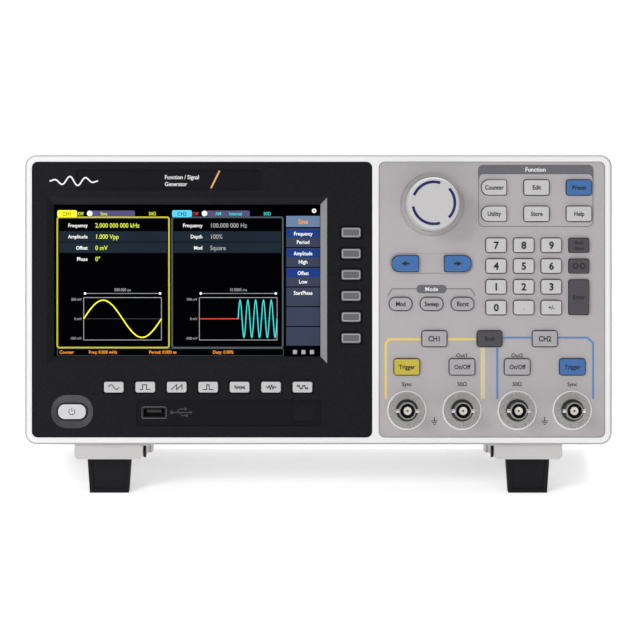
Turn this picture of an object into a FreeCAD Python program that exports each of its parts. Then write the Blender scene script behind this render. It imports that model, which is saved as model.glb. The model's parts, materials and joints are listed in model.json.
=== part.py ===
import FreeCAD, Part
import Sketcher
import math
import os

# Bench function generator: a flat case with a touch screen on the left of its face, a key field and a
# jog knob on the right, four coaxial jacks along the foot of the key field and two folding front legs.
# The instrument's own directions are X to the right, Y into the case from its face, Z up from its
# underside. It stands on its opened legs, so every sub-part is tipped back by the same tilt.

DIMS = {
    # case
    "case_width": 340, "case_height": 168, "case_depth": 90, "case_round": 7,
    "frame_depth": 14, "frame_rim": 4.4, "frame_ease": 2.2, "ledge": 3, "ledge_back": 7,
    "side_wall": 2.5, "rear_wall": 3, "rear_round": 6, "seam_mid": 33, "seam_width": 4,
    "fit_gap": 0.15, "panel_front": 0.5, "panel_back": 4.5, "panel_round": 3.5,
    "vent_long": 46, "vent_wide": 3, "vent_pitch": 8,
    # screen
    "screen_left": -153.3, "screen_low": 51, "screen_width": 154.5, "screen_height": 88.2,
    "bevel_width": 3.8, "bevel_depth": 3, "glass_thick": 1.2, "glass_lap": 2.2, "lcd_thick": 6,
    # shallow recesses of the display bezel
    "strip_depth": 0.6, "name_left": -140, "name_right": -33, "name_low": 147.2, "name_high": 159.2,
    "strip_left": -105.3, "strip_right": 1.6, "strip_low": 10.7, "strip_high": 26.2,
    "blank_left": -15.3, "blank_right": -2, "blank_low": 13.3, "blank_high": 23.2,
    "usb_x": -95.1, "usb_z": 18.6, "usb_width": 14.4, "usb_height": 7, "usb_depth": 16,
    "dish_width": 24.4, "dish_height": 19.6, "dish_depth": 0.8,
    # keys
    "key_gap": 0.4, "key_rise": 1.7, "bezel_rise": 1, "key_round": 1.2, "key_ease": 0.4,
    "key_stop": 0.05, "flange_lip": 1, "flange_thick": 1, "post_size": 1.5, "post_long": 0.45,
    "key_travel": 1, "surround": 1,
    "power_x": -142.5, "power_z": 19.2, "power_width": 16.1, "power_height": 8.5,
    "wave_x": -118.3, "wave_z": 33.4, "wave_pitch": 18.18, "wave_width": 11.3, "wave_height": 6.2,
    "soft_x": 18.9, "soft_z": 122.8, "soft_pitch": 12.22, "soft_width": 11.3, "soft_height": 5.8,
    "column_x": 65.4, "arrow_z": 104.8, "arrow_half": 15.15, "arrow_width": 15.2, "arrow_height": 9,
    "mode_z": 81.5, "mode_pitch": 17.9, "mode_width": 12.7, "mode_height": 7.2,
    "menu_x": 101.5, "menu_z": 148.8, "menu_pitch": 24.55, "menu_drop": 15.2,
    "menu_width": 14.2, "menu_height": 8.4,
    "digit_x": 102.7, "digit_z": 115.4, "digit_pitch": 15.95, "digit_drop": 12,
    "digit_width": 11.4, "digit_height": 7.9,
    "chan_z": 61.4, "chan_width": 14, "chan_height": 8.8,
    "gate_z": 45.1, "gate_width": 14.4, "gate_height": 9,
    # knob
    "knob_x": 65.9, "knob_z": 139.1, "knob_size": 15.5, "knob_face": 14.7, "knob_long": 14.5,
    "knob_lift": 1.3, "knob_hub": 5.2, "hub_shell": 2, "stem_size": 3, "stem_long": 11, "run_gap": 0.05,
    "stem_collar": 5, "bush_size": 4.5, "knob_dish": 18.4, "turn_gap": 0.4,
    # jacks
    "jack_x": 51.1, "jack_pitch": 31.9, "jack_z": 20, "jack_seat": 10.3, "seat_thick": 1,
    "seat_dish": 11.4, "barrel_size": 4.85, "barrel_long": 11, "bore_size": 4.05, "core_size": 2.3,
    "core_back": 2, "pin_hole": 0.7, "collar_size": 6.4, "collar_long": 1.6, "lug_size": 1,
    "lug_reach": 6.6, "lug_back": 2.6, "shank_size": 5.9, "shank_end": 14, "nut_size": 8,
    "nut_thick": 2.4,
    # boards behind the face
    "board_front": 9, "board_thick": 1.6, "switch_size": 6, "switch_top": 7.2, "main_front": 20,
    # feet and legs
    "tilt": 15, "foot_mid": 121.7, "foot_width": 39.5, "foot_height": 8.5, "foot_front": 3,
    "foot_back": 50, "foot_cut": 1.7, "well_front": 7.9, "well_back": 46, "well_half": 13.2,
    "well_roof": 1, "rest_front": 66, "rest_line": 82, "rest_back": 88,
    "leg_mid": 11, "leg_thick": 6, "leg_pivot": 4.5, "leg_top": 25.2, "leg_tip": 22.5,
    "leg_border": 2.2, "leg_sink": 0.8, "axle_size": 1.6, "axle_long": 20.6, "head_size": 3.4,
    "head_thick": 1.4, "axle_gap": 0.05,
    # sockets in the rear wall
    "inlet_x": 118, "inlet_z": 46, "inlet_width": 25, "inlet_height": 17.5, "inlet_depth": 16,
    "inlet_flange": 3.4, "flange_out": 2, "blade_gap": 6.6, "blade_width": 2, "blade_height": 4,
    "blade_back": 3, "rear_z": 32, "rear_jack_x": -128, "rear_pitch": 26,
    "lan_x": -12, "lan_width": 16.4, "lan_height": 13.5, "lan_wall": 2.2, "square_x": -44, "square_width": 12,
    "square_height": 11, "port_depth": 14, "port_wall": 0.8,
}

DOC = FreeCAD.newDocument("FunctionGenerator")
SHEET = DOC.addObject("Spreadsheet::Sheet", "Dims")
for row, (alias, size) in enumerate(DIMS.items(), start=1):
    SHEET.set(f"A{row}", str(size))
    SHEET.setAlias(f"A{row}", alias)
DOC.recompute()


def value(expression):
    """The number an expression over the sheet comes to."""
    result = SHEET.evalExpression(str(expression))
    return float(getattr(result, "Value", result))


def size(alias):
    """A driving dimension written the way an expression names it."""
    return f"Dims.{alias}"


# Sizes worked out from the driving dimensions.
BEZEL_LEFT = "(Dims.frame_rim - Dims.case_width / 2)"
BEZEL_RIGHT = "(Dims.seam_mid - Dims.seam_width / 2)"
FASCIA_LEFT = "(Dims.seam_mid + Dims.seam_width / 2)"
FASCIA_RIGHT = "(Dims.case_width / 2 - Dims.frame_rim)"
PANEL_LOW = "Dims.frame_rim"
PANEL_HIGH = "(Dims.case_height - Dims.frame_rim)"
SCREEN_RIGHT = "(Dims.screen_left + Dims.screen_width)"
SCREEN_HIGH = "(Dims.screen_low + Dims.screen_height)"
BEVEL_END = "(Dims.panel_front + Dims.bevel_depth)"
GLASS_BACK = "(Dims.panel_back + Dims.glass_thick)"
LCD_BACK = f"({GLASS_BACK} + Dims.lcd_thick)"
FLANGE_FRONT = "(Dims.panel_back + Dims.key_stop)"
FLANGE_BACK = f"({FLANGE_FRONT} + Dims.flange_thick)"
BOARD_BACK = "(Dims.board_front + Dims.board_thick)"
MAIN_BACK = "(Dims.main_front + Dims.board_thick)"
COVER_INSIDE = "(Dims.case_depth - Dims.rear_wall)"
CAP_FRONT = "(Dims.panel_front - Dims.key_rise)"
BEZEL_CAP_FRONT = "(Dims.panel_front - Dims.bezel_rise)"
JACK_TIP = "(Dims.panel_front - Dims.seat_thick - Dims.barrel_long)"
FLOOR_DROP = "tan(Dims.tilt * 1deg)"

TILT = math.radians(value("Dims.tilt"))
LIFT = value("Dims.foot_height") * math.cos(TILT) + value("Dims.rest_line") * math.sin(TILT)
FOREMOST = (value(JACK_TIP) * math.cos(TILT)
            + value("Dims.jack_z - Dims.barrel_size") * math.sin(TILT))
HINDMOST = (value("Dims.case_depth - Dims.rear_round") * math.cos(TILT)
            + value("Dims.case_height - Dims.rear_round") * math.sin(TILT) + value("Dims.rear_round"))
STAND = FreeCAD.Placement(
    FreeCAD.Vector(0, -(FOREMOST + HINDMOST) / 2, LIFT),
    FreeCAD.Rotation(FreeCAD.Vector(1, 0, 0), -value("Dims.tilt")))


class Outlines:
    """Closed outlines gathered for one sketch, each point and radius bound to the sheet."""

    def __init__(self):
        self.curves = []
        self.rules = []
        self.sizes = []

    def polygon(self, points):
        first = len(self.curves)
        count = len(points)
        corners = [FreeCAD.Vector(value(x), value(y), 0) for x, y in points]
        for index, (x, y) in enumerate(points):
            following = (index + 1) % count
            self.curves.append(Part.LineSegment(corners[index], corners[following]))
            self.rules.append(("Coincident", first + index, 2, first + following, 1))
            self.sizes.append(("DistanceX", first + index, x))
            self.sizes.append(("DistanceY", first + index, y))

    def disc(self, x, y, radius):
        first = len(self.curves)
        centre = FreeCAD.Vector(value(x), value(y), 0)
        self.curves.append(Part.Circle(centre, FreeCAD.Vector(0, 0, 1), value(radius)))
        self.sizes.append(("CentreX", first, x))
        self.sizes.append(("CentreY", first, y))
        self.sizes.append(("Radius", first, radius))

    def block(self, left, right, low, high, left_round=None, right_round=None):
        if left_round is None:
            self.polygon([(left, low), (right, low), (right, high), (left, high)])
            return
        right_round = right_round or left_round
        first = len(self.curves)
        x0, x1, y0, y1 = value(left), value(right), value(low), value(high)
        a, b = value(left_round), value(right_round)

        def line(xa, ya, xb, yb):
            self.curves.append(Part.LineSegment(FreeCAD.Vector(xa, ya, 0), FreeCAD.Vector(xb, yb, 0)))

        def arc(x, y, radius, quarter):
            circle = Part.Circle(FreeCAD.Vector(x, y, 0), FreeCAD.Vector(0, 0, 1), radius)
            self.curves.append(Part.ArcOfCircle(circle, quarter * math.pi / 2, (quarter + 1) * math.pi / 2))

        line(x0 + a, y0, x1 - b, y0)
        arc(x1 - b, y0 + b, b, 3)
        line(x1, y0 + b, x1, y1 - b)
        arc(x1 - b, y1 - b, b, 0)
        line(x1 - b, y1, x0 + a, y1)
        arc(x0 + a, y1 - a, a, 1)
        line(x0, y1 - a, x0, y0 + a)
        arc(x0 + a, y0 + a, a, 2)
        bottom, low_right, right_side, high_right, top, high_left, left_side, low_left = range(first, first + 8)
        self.rules += [
            ("Tangent", bottom, 2, low_right, 1), ("Tangent", low_right, 2, right_side, 1),
            ("Tangent", right_side, 2, high_right, 1), ("Tangent", high_right, 2, top, 1),
            ("Tangent", top, 2, high_left, 1), ("Tangent", high_left, 2, left_side, 1),
            ("Tangent", left_side, 2, low_left, 1), ("Tangent", low_left, 2, bottom, 1),
            ("Horizontal", bottom), ("Horizontal", top), ("Vertical", left_side), ("Vertical", right_side),
            ("Equal", low_right, high_right), ("Equal", low_left, high_left)]
        self.sizes += [
            ("Radius", low_right, right_round), ("Radius", low_left, left_round),
            ("DistanceX", left_side, left), ("DistanceX", right_side, right),
            ("DistanceY", bottom, low), ("DistanceY", top, high)]

    def centred(self, x, y, width, height, left_round=None, right_round=None, grow="0"):
        self.block(f"{x} - {width} / 2 - ({grow})", f"{x} + {width} / 2 + ({grow})",
                   f"{y} - {height} / 2 - ({grow})", f"{y} + {height} / 2 + ({grow})",
                   left_round, right_round)

    def write(self, sketch):
        sketch.addGeometry(self.curves, False)
        sketch.addConstraint([Sketcher.Constraint(*rule) for rule in self.rules])
        named = sketch.ConstraintCount
        bound = []
        for kind, curve, expression in self.sizes:
            number = value(expression)
            if kind == "Radius":
                bound.append(Sketcher.Constraint("Radius", curve, number))
            elif kind.startswith("Centre"):
                bound.append(Sketcher.Constraint("Distance" + kind[-1], -1, 1, curve, 3, number))
            else:
                bound.append(Sketcher.Constraint(kind, -1, 1, curve, 1, number))
        sketch.addConstraint(bound)
        for index, (_, _, expression) in enumerate(self.sizes):
            sketch.renameConstraint(named + index, f"size_{index}")
            sketch.setExpression(f"Constraints.size_{index}", expression)


def new_body(name):
    body = DOC.addObject("PartDesign::Body", name)
    body.Label = name
    body.AllowCompound = True
    body.Placement = STAND
    return body


def sketch_on(body, role, outlines, along="0", across="0"):
    """A sketch on an origin plane of the body, moved along the plane's normal and across it."""
    sketch = body.newObject("Sketcher::SketchObject", body.Name + "_sketch")
    plane = [item for item in body.Origin.OriginFeatures if item.Role == role][0]
    sketch.AttachmentSupport = [(plane, "")]
    sketch.MapMode = "FlatFace"
    sketch.setExpression("AttachmentOffset.Base.z", along)
    if across != "0":
        sketch.setExpression("AttachmentOffset.Base.x", across)
    outlines.write(sketch)
    sketch.Visibility = False
    return sketch


def extrude(body, kind, role, outlines, start, end):
    """A pad or pocket from start to end: along Y for XZ_Plane, Z for XY_Plane, X for YZ_Plane."""
    facing_back = role == "XZ_Plane"
    along = f"-({start})" if facing_back else f"{start}"
    sketch = sketch_on(body, role, outlines, along)
    feature = body.newObject("PartDesign::" + kind, f"{body.Name}_{kind.lower()}")
    feature.Profile = sketch
    feature.setExpression("Length", f"({end}) - ({start})")
    feature.Reversed = facing_back if kind == "Pad" else not facing_back
    DOC.recompute()
    return feature


def pad(body, outlines, start, end, role="XZ_Plane"):
    return extrude(body, "Pad", role, outlines, start, end)


def pocket(body, outlines, start, end, role="XZ_Plane"):
    before = body.Shape.Volume
    feature = extrude(body, "Pocket", role, outlines, start, end)
    if feature.Shape.Volume > before - 0.01:
        raise RuntimeError(f"{body.Label}: a pocket removed nothing")
    return feature


def in_groups(feature, body, draw, items, start, end, role="XZ_Plane", group=4):
    """Pads or pockets of many like outlines, a few to a sketch, so that each sketch solves fast."""
    for first in range(0, len(items), group):
        outlines = Outlines()
        for item in items[first:first + group]:
            draw(outlines, item)
        feature(body, outlines, start, end, role)


def ease(body, amount, wanted, kind="Fillet"):
    """Round or bevel the edges of the body that the test picks out."""
    base = body.Tip
    names = [f"Edge{number}" for number, edge in enumerate(base.Shape.Edges, start=1) if wanted(edge)]
    feature = body.newObject("PartDesign::" + kind, f"{body.Name}_{kind.lower()}")
    feature.Base = (base, names)
    feature.setExpression("Radius" if kind == "Fillet" else "Size", amount)
    DOC.recompute()


def revolve(body, points, x, z, kind="Revolution"):
    """Turn (radius, depth) points about an axis along Y through (x, z)."""
    outlines = Outlines()
    outlines.polygon(points)
    sketch = sketch_on(body, "XY_Plane", outlines, along=z, across=x)
    feature = body.newObject("PartDesign::" + kind, f"{body.Name}_{kind.lower()}")
    feature.Profile = sketch
    feature.ReferenceAxis = (sketch, ["V_Axis"])
    feature.Angle = 360
    DOC.recompute()


def lies_at_depth(expression):
    depth = value(expression)

    def test(edge):
        box = edge.BoundBox
        return abs(box.YMin - depth) < 1e-4 and abs(box.YMax - depth) < 1e-4

    return test


# Layout of the keys: every key has a name, a centre, a width, a height and two end radii.
PLAIN = "Dims.key_round"
ROUND_END = "(Dims.{0}_height * 0.47)"


def key_row(names, x, z, kind, rounds=None):
    """One row of like keys; x and z give the centre of key number index."""
    keys = []
    for index, name in enumerate(names):
        left, right = (rounds or {}).get(index, (PLAIN, PLAIN))
        keys.append({"name": name, "x": x(index), "z": z(index), "width": size(kind + "_width"),
                     "height": size(kind + "_height"), "left": left, "right": right})
    return keys


def jack_column(index):
    return f"(Dims.jack_x + {index} * Dims.jack_pitch)"


def bezel_keys():
    round_power = ROUND_END.format("power")
    keys = key_row(["power_key"], lambda i: "Dims.power_x", lambda i: "Dims.power_z", "power",
                   {0: (round_power, round_power)})
    waves = ["sine_key", "square_key", "ramp_key", "pulse_key", "noise_key", "arbitrary_key",
             "harmonic_key"]
    keys += key_row(waves, lambda i: f"(Dims.wave_x + {i} * Dims.wave_pitch)",
                    lambda i: "Dims.wave_z", "wave")
    keys += key_row([f"soft_key_{number}" for number in range(1, 7)], lambda i: "Dims.soft_x",
                    lambda i: f"(Dims.soft_z - {i} * Dims.soft_pitch)", "soft")
    return keys


def fascia_keys():
    arrow_end, menu_end = ROUND_END.format("arrow"), ROUND_END.format("menu")
    mode_end = ROUND_END.format("mode")
    keys = key_row(["arrow_left_key", "arrow_right_key"],
                   lambda i: f"(Dims.column_x + {2 * i - 1} * Dims.arrow_half)",
                   lambda i: "Dims.arrow_z", "arrow", {0: (arrow_end, PLAIN), 1: (PLAIN, arrow_end)})
    keys += key_row(["mod_key", "sweep_key", "burst_key"],
                    lambda i: f"(Dims.column_x + {i - 1} * Dims.mode_pitch)",
                    lambda i: "Dims.mode_z", "mode", {i: (mode_end, mode_end) for i in range(3)})
    for drop, names in enumerate([["counter_key", "edit_key", "preset_key"],
                                  ["utility_key", "store_key", "help_key"]]):
        keys += key_row(names, lambda i: f"(Dims.menu_x + {i} * Dims.menu_pitch)",
                        lambda i: f"(Dims.menu_z - {drop} * Dims.menu_drop)", "menu",
                        {0: (menu_end, PLAIN)})
    digits = [["digit_7_key", "digit_8_key", "digit_9_key", "back_key"],
              ["digit_4_key", "digit_5_key", "digit_6_key", "clear_key"],
              ["digit_1_key", "digit_2_key", "digit_3_key"],
              ["digit_0_key", "point_key", "sign_key"]]
    for drop, names in enumerate(digits):
        keys += key_row(names, lambda i: f"(Dims.digit_x + {i} * Dims.digit_pitch)",
                        lambda i: f"(Dims.digit_z - {drop} * Dims.digit_drop)", "digit")
    keys.append({"name": "enter_key", "x": "(Dims.digit_x + 3 * Dims.digit_pitch)",
                 "z": "(Dims.digit_z - 2.5 * Dims.digit_drop)", "width": "Dims.digit_width",
                 "height": "(Dims.digit_height + Dims.digit_drop)", "left": PLAIN, "right": PLAIN})
    keys += key_row(["channel_1_key", "both_key", "channel_2_key"],
                    lambda i: jack_column(i + 0.5), lambda i: "Dims.chan_z", "chan")
    keys += key_row(["trigger_1_key", "output_1_key", "output_2_key", "trigger_2_key"],
                    jack_column, lambda i: "Dims.gate_z", "gate")
    return keys


def draw_cap(outlines, key, grow="0"):
    outlines.centred(key["x"], key["z"], key["width"], key["height"], key["left"], key["right"], grow)


def draw_hole(outlines, key):
    draw_cap(outlines, key, "Dims.key_gap")


def draw_surround(outlines, key):
    outlines.centred(key["x"], key["z"], key["width"], key["height"], "1.6", grow="Dims.surround")


def make_key(key, front):
    """A cap that passes through the panel, a flange that stops behind it and a post over its switch."""
    body = new_body(key["name"])
    cap = Outlines()
    draw_cap(cap, key)
    pad(body, cap, front, FLANGE_BACK)
    flange = Outlines()
    flange.centred(key["x"], key["z"], key["width"], key["height"], grow="Dims.flange_lip")
    pad(body, flange, FLANGE_FRONT, FLANGE_BACK)
    post = Outlines()
    post.disc(key["x"], key["z"], "Dims.post_size")
    pad(body, post, FLANGE_BACK, f"{FLANGE_BACK} + Dims.post_long")
    ease(body, "Dims.key_ease", lies_at_depth(front))


def make_frame():
    """The pale front frame: a ring with a rib, front pockets for both panels and ledges behind them."""
    body = new_body("front_frame")
    outer = Outlines()
    outer.block("-Dims.case_width / 2", "Dims.case_width / 2", "0", "Dims.case_height", "Dims.case_round")
    pad(body, outer, "0", "Dims.frame_depth")
    hollow = Outlines()
    hollow.block("-(Dims.case_width / 2 - Dims.frame_rim - Dims.ledge)",
                 "Dims.case_width / 2 - Dims.frame_rim - Dims.ledge",
                 "Dims.frame_rim + Dims.ledge", "Dims.case_height - Dims.frame_rim - Dims.ledge")
    pocket(body, hollow, "Dims.ledge_back", "Dims.frame_depth")
    for left, right in ((BEZEL_LEFT, BEZEL_RIGHT), (FASCIA_LEFT, FASCIA_RIGHT)):
        seat = Outlines()
        seat.block(f"{left} - Dims.fit_gap", f"{right} + Dims.fit_gap", f"{PANEL_LOW} - Dims.fit_gap",
                   f"{PANEL_HIGH} + Dims.fit_gap", "Dims.panel_round")
        pocket(body, seat, "0", "Dims.panel_back")
        window = Outlines()
        window.block(f"{left} + Dims.ledge", f"{right} - Dims.ledge", f"{PANEL_LOW} + Dims.ledge",
                     f"{PANEL_HIGH} - Dims.ledge")
        pocket(body, window, "Dims.panel_back", "Dims.ledge_back")
    half = value("Dims.case_width / 2")
    top = value("Dims.case_height")
    rim = value("Dims.frame_rim") - 0.5
    at_front = lies_at_depth("0")

    def outer_front(edge):
        middle = edge.CenterOfMass
        near = min(half - abs(middle.x), middle.z, top - middle.z) < rim
        return at_front(edge) and near

    ease(body, "Dims.frame_ease", outer_front)


def make_bezel():
    """The dark plate around the screen, with its bevelled opening, key holes and shallow recesses."""
    body = new_body("display_bezel")
    plate = Outlines()
    plate.block(BEZEL_LEFT, BEZEL_RIGHT, PANEL_LOW, PANEL_HIGH, "Dims.panel_round")
    pad(body, plate, "Dims.panel_front", "Dims.panel_back")
    mouth = Outlines()
    mouth.block("Dims.screen_left - Dims.bevel_width", f"{SCREEN_RIGHT} + Dims.bevel_width",
                "Dims.screen_low - Dims.bevel_width", f"{SCREEN_HIGH} + Dims.bevel_width")
    throat = Outlines()
    throat.block("Dims.screen_left", SCREEN_RIGHT, "Dims.screen_low", SCREEN_HIGH)
    wide = sketch_on(body, "XZ_Plane", mouth, "-Dims.panel_front")
    tight = sketch_on(body, "XZ_Plane", throat, f"-{BEVEL_END}")
    bevel = body.newObject("PartDesign::SubtractiveLoft", "display_bezel_bevel")
    bevel.Profile = wide
    bevel.Sections = [tight]
    DOC.recompute()
    through = Outlines()
    through.block("Dims.screen_left", SCREEN_RIGHT, "Dims.screen_low", SCREEN_HIGH)
    through.centred("Dims.usb_x", "Dims.usb_z", "Dims.usb_width", "Dims.usb_height")
    pocket(body, through, "Dims.panel_front", "Dims.panel_back")
    shallow = Outlines()
    shallow.block("Dims.name_left", "Dims.name_right", "Dims.name_low", "Dims.name_high", "1")
    shallow.block("Dims.strip_left", "Dims.strip_right", "Dims.strip_low", "Dims.strip_high", "1.5")
    pocket(body, shallow, "Dims.panel_front", "Dims.panel_front + Dims.strip_depth")
    in_groups(pocket, body, draw_surround, bezel_keys()[1:], "Dims.panel_front",
              "Dims.panel_front + Dims.strip_depth")
    power = Outlines()
    power.centred("Dims.power_x", "Dims.power_z", "Dims.dish_width", "Dims.dish_height", "9.2")
    pocket(body, power, "Dims.panel_front", "Dims.panel_front + Dims.dish_depth")
    blank = Outlines()
    blank.block("Dims.blank_left", "Dims.blank_right", "Dims.blank_low", "Dims.blank_high", "0.8")
    pocket(body, blank, "Dims.panel_front + Dims.strip_depth", "Dims.panel_front + 2 * Dims.strip_depth")
    in_groups(pocket, body, draw_hole, bezel_keys(), "Dims.panel_front", "Dims.panel_back")


def make_fascia():
    """The grey plate under the key field, with its key holes, knob dish, arrow band and jack seats."""
    body = new_body("keypad_fascia")
    plate = Outlines()
    plate.block(FASCIA_LEFT, FASCIA_RIGHT, PANEL_LOW, PANEL_HIGH, "Dims.panel_round")
    pad(body, plate, "Dims.panel_front", "Dims.panel_back")
    holes = Outlines()
    holes.disc("Dims.knob_x", "Dims.knob_z", "Dims.bush_size + Dims.fit_gap")
    for index in range(4):
        holes.disc(jack_column(index), "Dims.jack_z", "Dims.shank_size + Dims.fit_gap")
    pocket(body, holes, "Dims.panel_front", "Dims.panel_back")
    shallow = Outlines()
    shallow.disc("Dims.knob_x", "Dims.knob_z", "Dims.knob_dish")
    shallow.block("Dims.column_x - Dims.arrow_half - Dims.arrow_width / 2 - 1.4",
                  "Dims.column_x + Dims.arrow_half + Dims.arrow_width / 2 + 1.4",
                  "Dims.arrow_z - Dims.arrow_height / 2 - 1.4",
                  "Dims.arrow_z + Dims.arrow_height / 2 + 1.4", "5.4")
    pocket(body, shallow, "Dims.panel_front", "Dims.panel_front + Dims.turn_gap")
    in_groups(pocket, body, draw_hole, fascia_keys(), "Dims.panel_front", "Dims.panel_back")


def make_display():
    """The touch glass against the back of the bezel and the screen module behind it."""
    body = new_body("touch_display")
    glass = Outlines()
    glass.block("Dims.screen_left - Dims.glass_lap", f"{SCREEN_RIGHT} + Dims.glass_lap",
                "Dims.screen_low - Dims.glass_lap", f"{SCREEN_HIGH} + Dims.glass_lap", "1")
    pad(body, glass, "Dims.panel_back", GLASS_BACK)
    module = Outlines()
    module.block("Dims.screen_left - Dims.glass_lap", f"{SCREEN_RIGHT} + Dims.glass_lap",
                 "Dims.screen_low - Dims.glass_lap", f"{SCREEN_HIGH} + Dims.glass_lap")
    pad(body, module, GLASS_BACK, LCD_BACK)


def draw_side_vent(outlines, index):
    middle = f"Dims.case_height / 2 + ({index - 4.5}) * Dims.vent_pitch"
    outlines.block("Dims.case_depth / 2 - Dims.vent_long / 2 + 6", "Dims.case_depth / 2 + Dims.vent_long / 2 + 6",
                   f"{middle} - Dims.vent_wide / 2", f"{middle} + Dims.vent_wide / 2", "Dims.vent_wide * 0.45")


def draw_rear_vent(outlines, place):
    column, index = place
    outlines.centred(f"{column} * Dims.vent_long", f"(Dims.case_height - 28 - {index} * Dims.vent_pitch)",
                     "Dims.vent_long", "Dims.vent_wide", "Dims.vent_wide * 0.45")


def make_cover():
    """The rear cover: a rounded shell with side and rear vents and the holes for the rear sockets."""
    body = new_body("rear_cover")
    outer = Outlines()
    outer.block("-Dims.case_width / 2", "Dims.case_width / 2", "0", "Dims.case_height", "Dims.case_round")
    pad(body, outer, "Dims.frame_depth", "Dims.case_depth")
    ease(body, "Dims.rear_round", lies_at_depth("Dims.case_depth"))
    inner = Outlines()
    inner.block("-(Dims.case_width / 2 - Dims.side_wall)", "Dims.case_width / 2 - Dims.side_wall",
                "Dims.side_wall", "Dims.case_height - Dims.side_wall", "Dims.case_round - Dims.side_wall")
    pocket(body, inner, "Dims.frame_depth", COVER_INSIDE)
    in_groups(pocket, body, draw_side_vent, range(10), "-Dims.case_width / 2 - 1",
              "Dims.case_width / 2 + 1", "YZ_Plane")
    places = [(column, index) for column in (-1.1, 0, 1.1) for index in range(6)]
    in_groups(pocket, body, draw_rear_vent, places, COVER_INSIDE, "Dims.case_depth")
    holes = Outlines()
    holes.centred("Dims.inlet_x", "Dims.inlet_z", "(Dims.inlet_width + 2 * Dims.port_wall)",
                  "(Dims.inlet_height + 2 * Dims.port_wall)", grow="Dims.fit_gap")
    holes.centred("Dims.lan_x", "Dims.rear_z", "Dims.lan_width", "Dims.lan_height", grow="Dims.fit_gap")
    holes.centred("Dims.square_x", "Dims.rear_z", "Dims.square_width", "Dims.square_height",
                  grow="Dims.fit_gap")
    for index in range(3):
        holes.disc(f"(Dims.rear_jack_x + {index} * Dims.rear_pitch)", "Dims.rear_z",
                   "Dims.shank_size + Dims.fit_gap")
    pocket(body, holes, COVER_INSIDE, "Dims.case_depth")


def draw_switch(outlines, key):
    outlines.centred(key["x"], key["z"], "Dims.switch_size", "Dims.switch_size")


def make_boards():
    """The switch board behind both key fields and the main board behind it, on pillars."""
    body = new_body("circuit_boards")
    board = Outlines()
    board.polygon([("-152", "12"), ("-132", "12"), ("-132", "26"), ("40", "26"), ("40", "39"),
                   ("161", "39"), ("161", "158"), ("38", "158"), ("38", "132"), ("10", "132"),
                   ("10", "44"), ("-152", "44")])
    pad(body, board, "Dims.board_front", BOARD_BACK)
    in_groups(pad, body, draw_switch, bezel_keys() + fascia_keys(), "Dims.switch_top", "Dims.board_front",
              group=8)
    spacers = Outlines()
    for x, z in (("42", "125"), ("90", "125"), ("158", "70"), ("42", "72"), ("-150", "41")):
        spacers.disc(x, z, "1.8")
    pad(body, spacers, "Dims.panel_back", "Dims.board_front")
    main = Outlines()
    main.block("-150", "150", "30", "150")
    pad(body, main, "Dims.main_front", MAIN_BACK)
    front_pillars = Outlines()
    for x, z in (("-140", "60"), ("-140", "130"), ("-10", "60"), ("-10", "130")):
        front_pillars.disc(x, z, "3")
    pad(body, front_pillars, LCD_BACK, "Dims.main_front")
    key_pillars = Outlines()
    for x, z in (("60", "71"), ("145", "71"), ("145", "125")):
        key_pillars.disc(x, z, "3")
    pad(body, key_pillars, BOARD_BACK, "Dims.main_front")
    rear_pillars = Outlines()
    for x, z in (("-140", "60"), ("-140", "142"), ("140", "70"), ("140", "142")):
        rear_pillars.disc(x, z, "4")
    pad(body, rear_pillars, MAIN_BACK, COVER_INSIDE)
    supply = Outlines()
    supply.block("50", "130", "75", "140")
    pad(body, supply, MAIN_BACK, "Dims.main_front + 40")


def lay_jacks(body, centres, base, outward):
    """Coaxial jacks standing on a wall at depth base; outward is -1 towards the front, 1 to the rear."""
    def depth(distance):
        return f"({base}) + ({outward}) * ({distance})"

    def span(near, far):
        return (depth(near), depth(far)) if outward > 0 else (depth(far), depth(near))

    def ring(radius):
        outlines = Outlines()
        for x, z in centres:
            outlines.disc(x, z, radius)
        return outlines

    tip = "Dims.seat_thick + Dims.barrel_long"
    pad(body, ring("Dims.jack_seat" if outward < 0 else "Dims.nut_size"), *span("0", "Dims.seat_thick"))
    pad(body, ring("Dims.collar_size"), *span("Dims.seat_thick", "Dims.seat_thick + Dims.collar_long"))
    pad(body, ring("Dims.barrel_size"), *span("Dims.seat_thick", tip))
    for x, z in centres:
        lug = Outlines()
        lug.disc(depth(f"{tip} - Dims.lug_back"), z, "Dims.lug_size")
        pad(body, lug, f"{x} - Dims.lug_reach", f"{x} + Dims.lug_reach", "YZ_Plane")
    pocket(body, ring("Dims.bore_size"), *span("Dims.seat_thick", tip))
    pad(body, ring("Dims.core_size"), *span("Dims.seat_thick", f"{tip} - Dims.core_back"))
    pocket(body, ring("Dims.pin_hole"), *span(f"{tip} - Dims.core_back - 5", f"{tip} - Dims.core_back"))
    return ring


def make_front_jacks():
    body = new_body("output_jacks")
    centres = [(jack_column(index), "Dims.jack_z") for index in range(4)]
    ring = lay_jacks(body, centres, "Dims.panel_front", -1)
    pad(body, ring("Dims.shank_size"), "Dims.panel_front", "Dims.shank_end")
    pad(body, ring("Dims.nut_size"), "Dims.panel_back", "Dims.panel_back + Dims.nut_thick")


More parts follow.
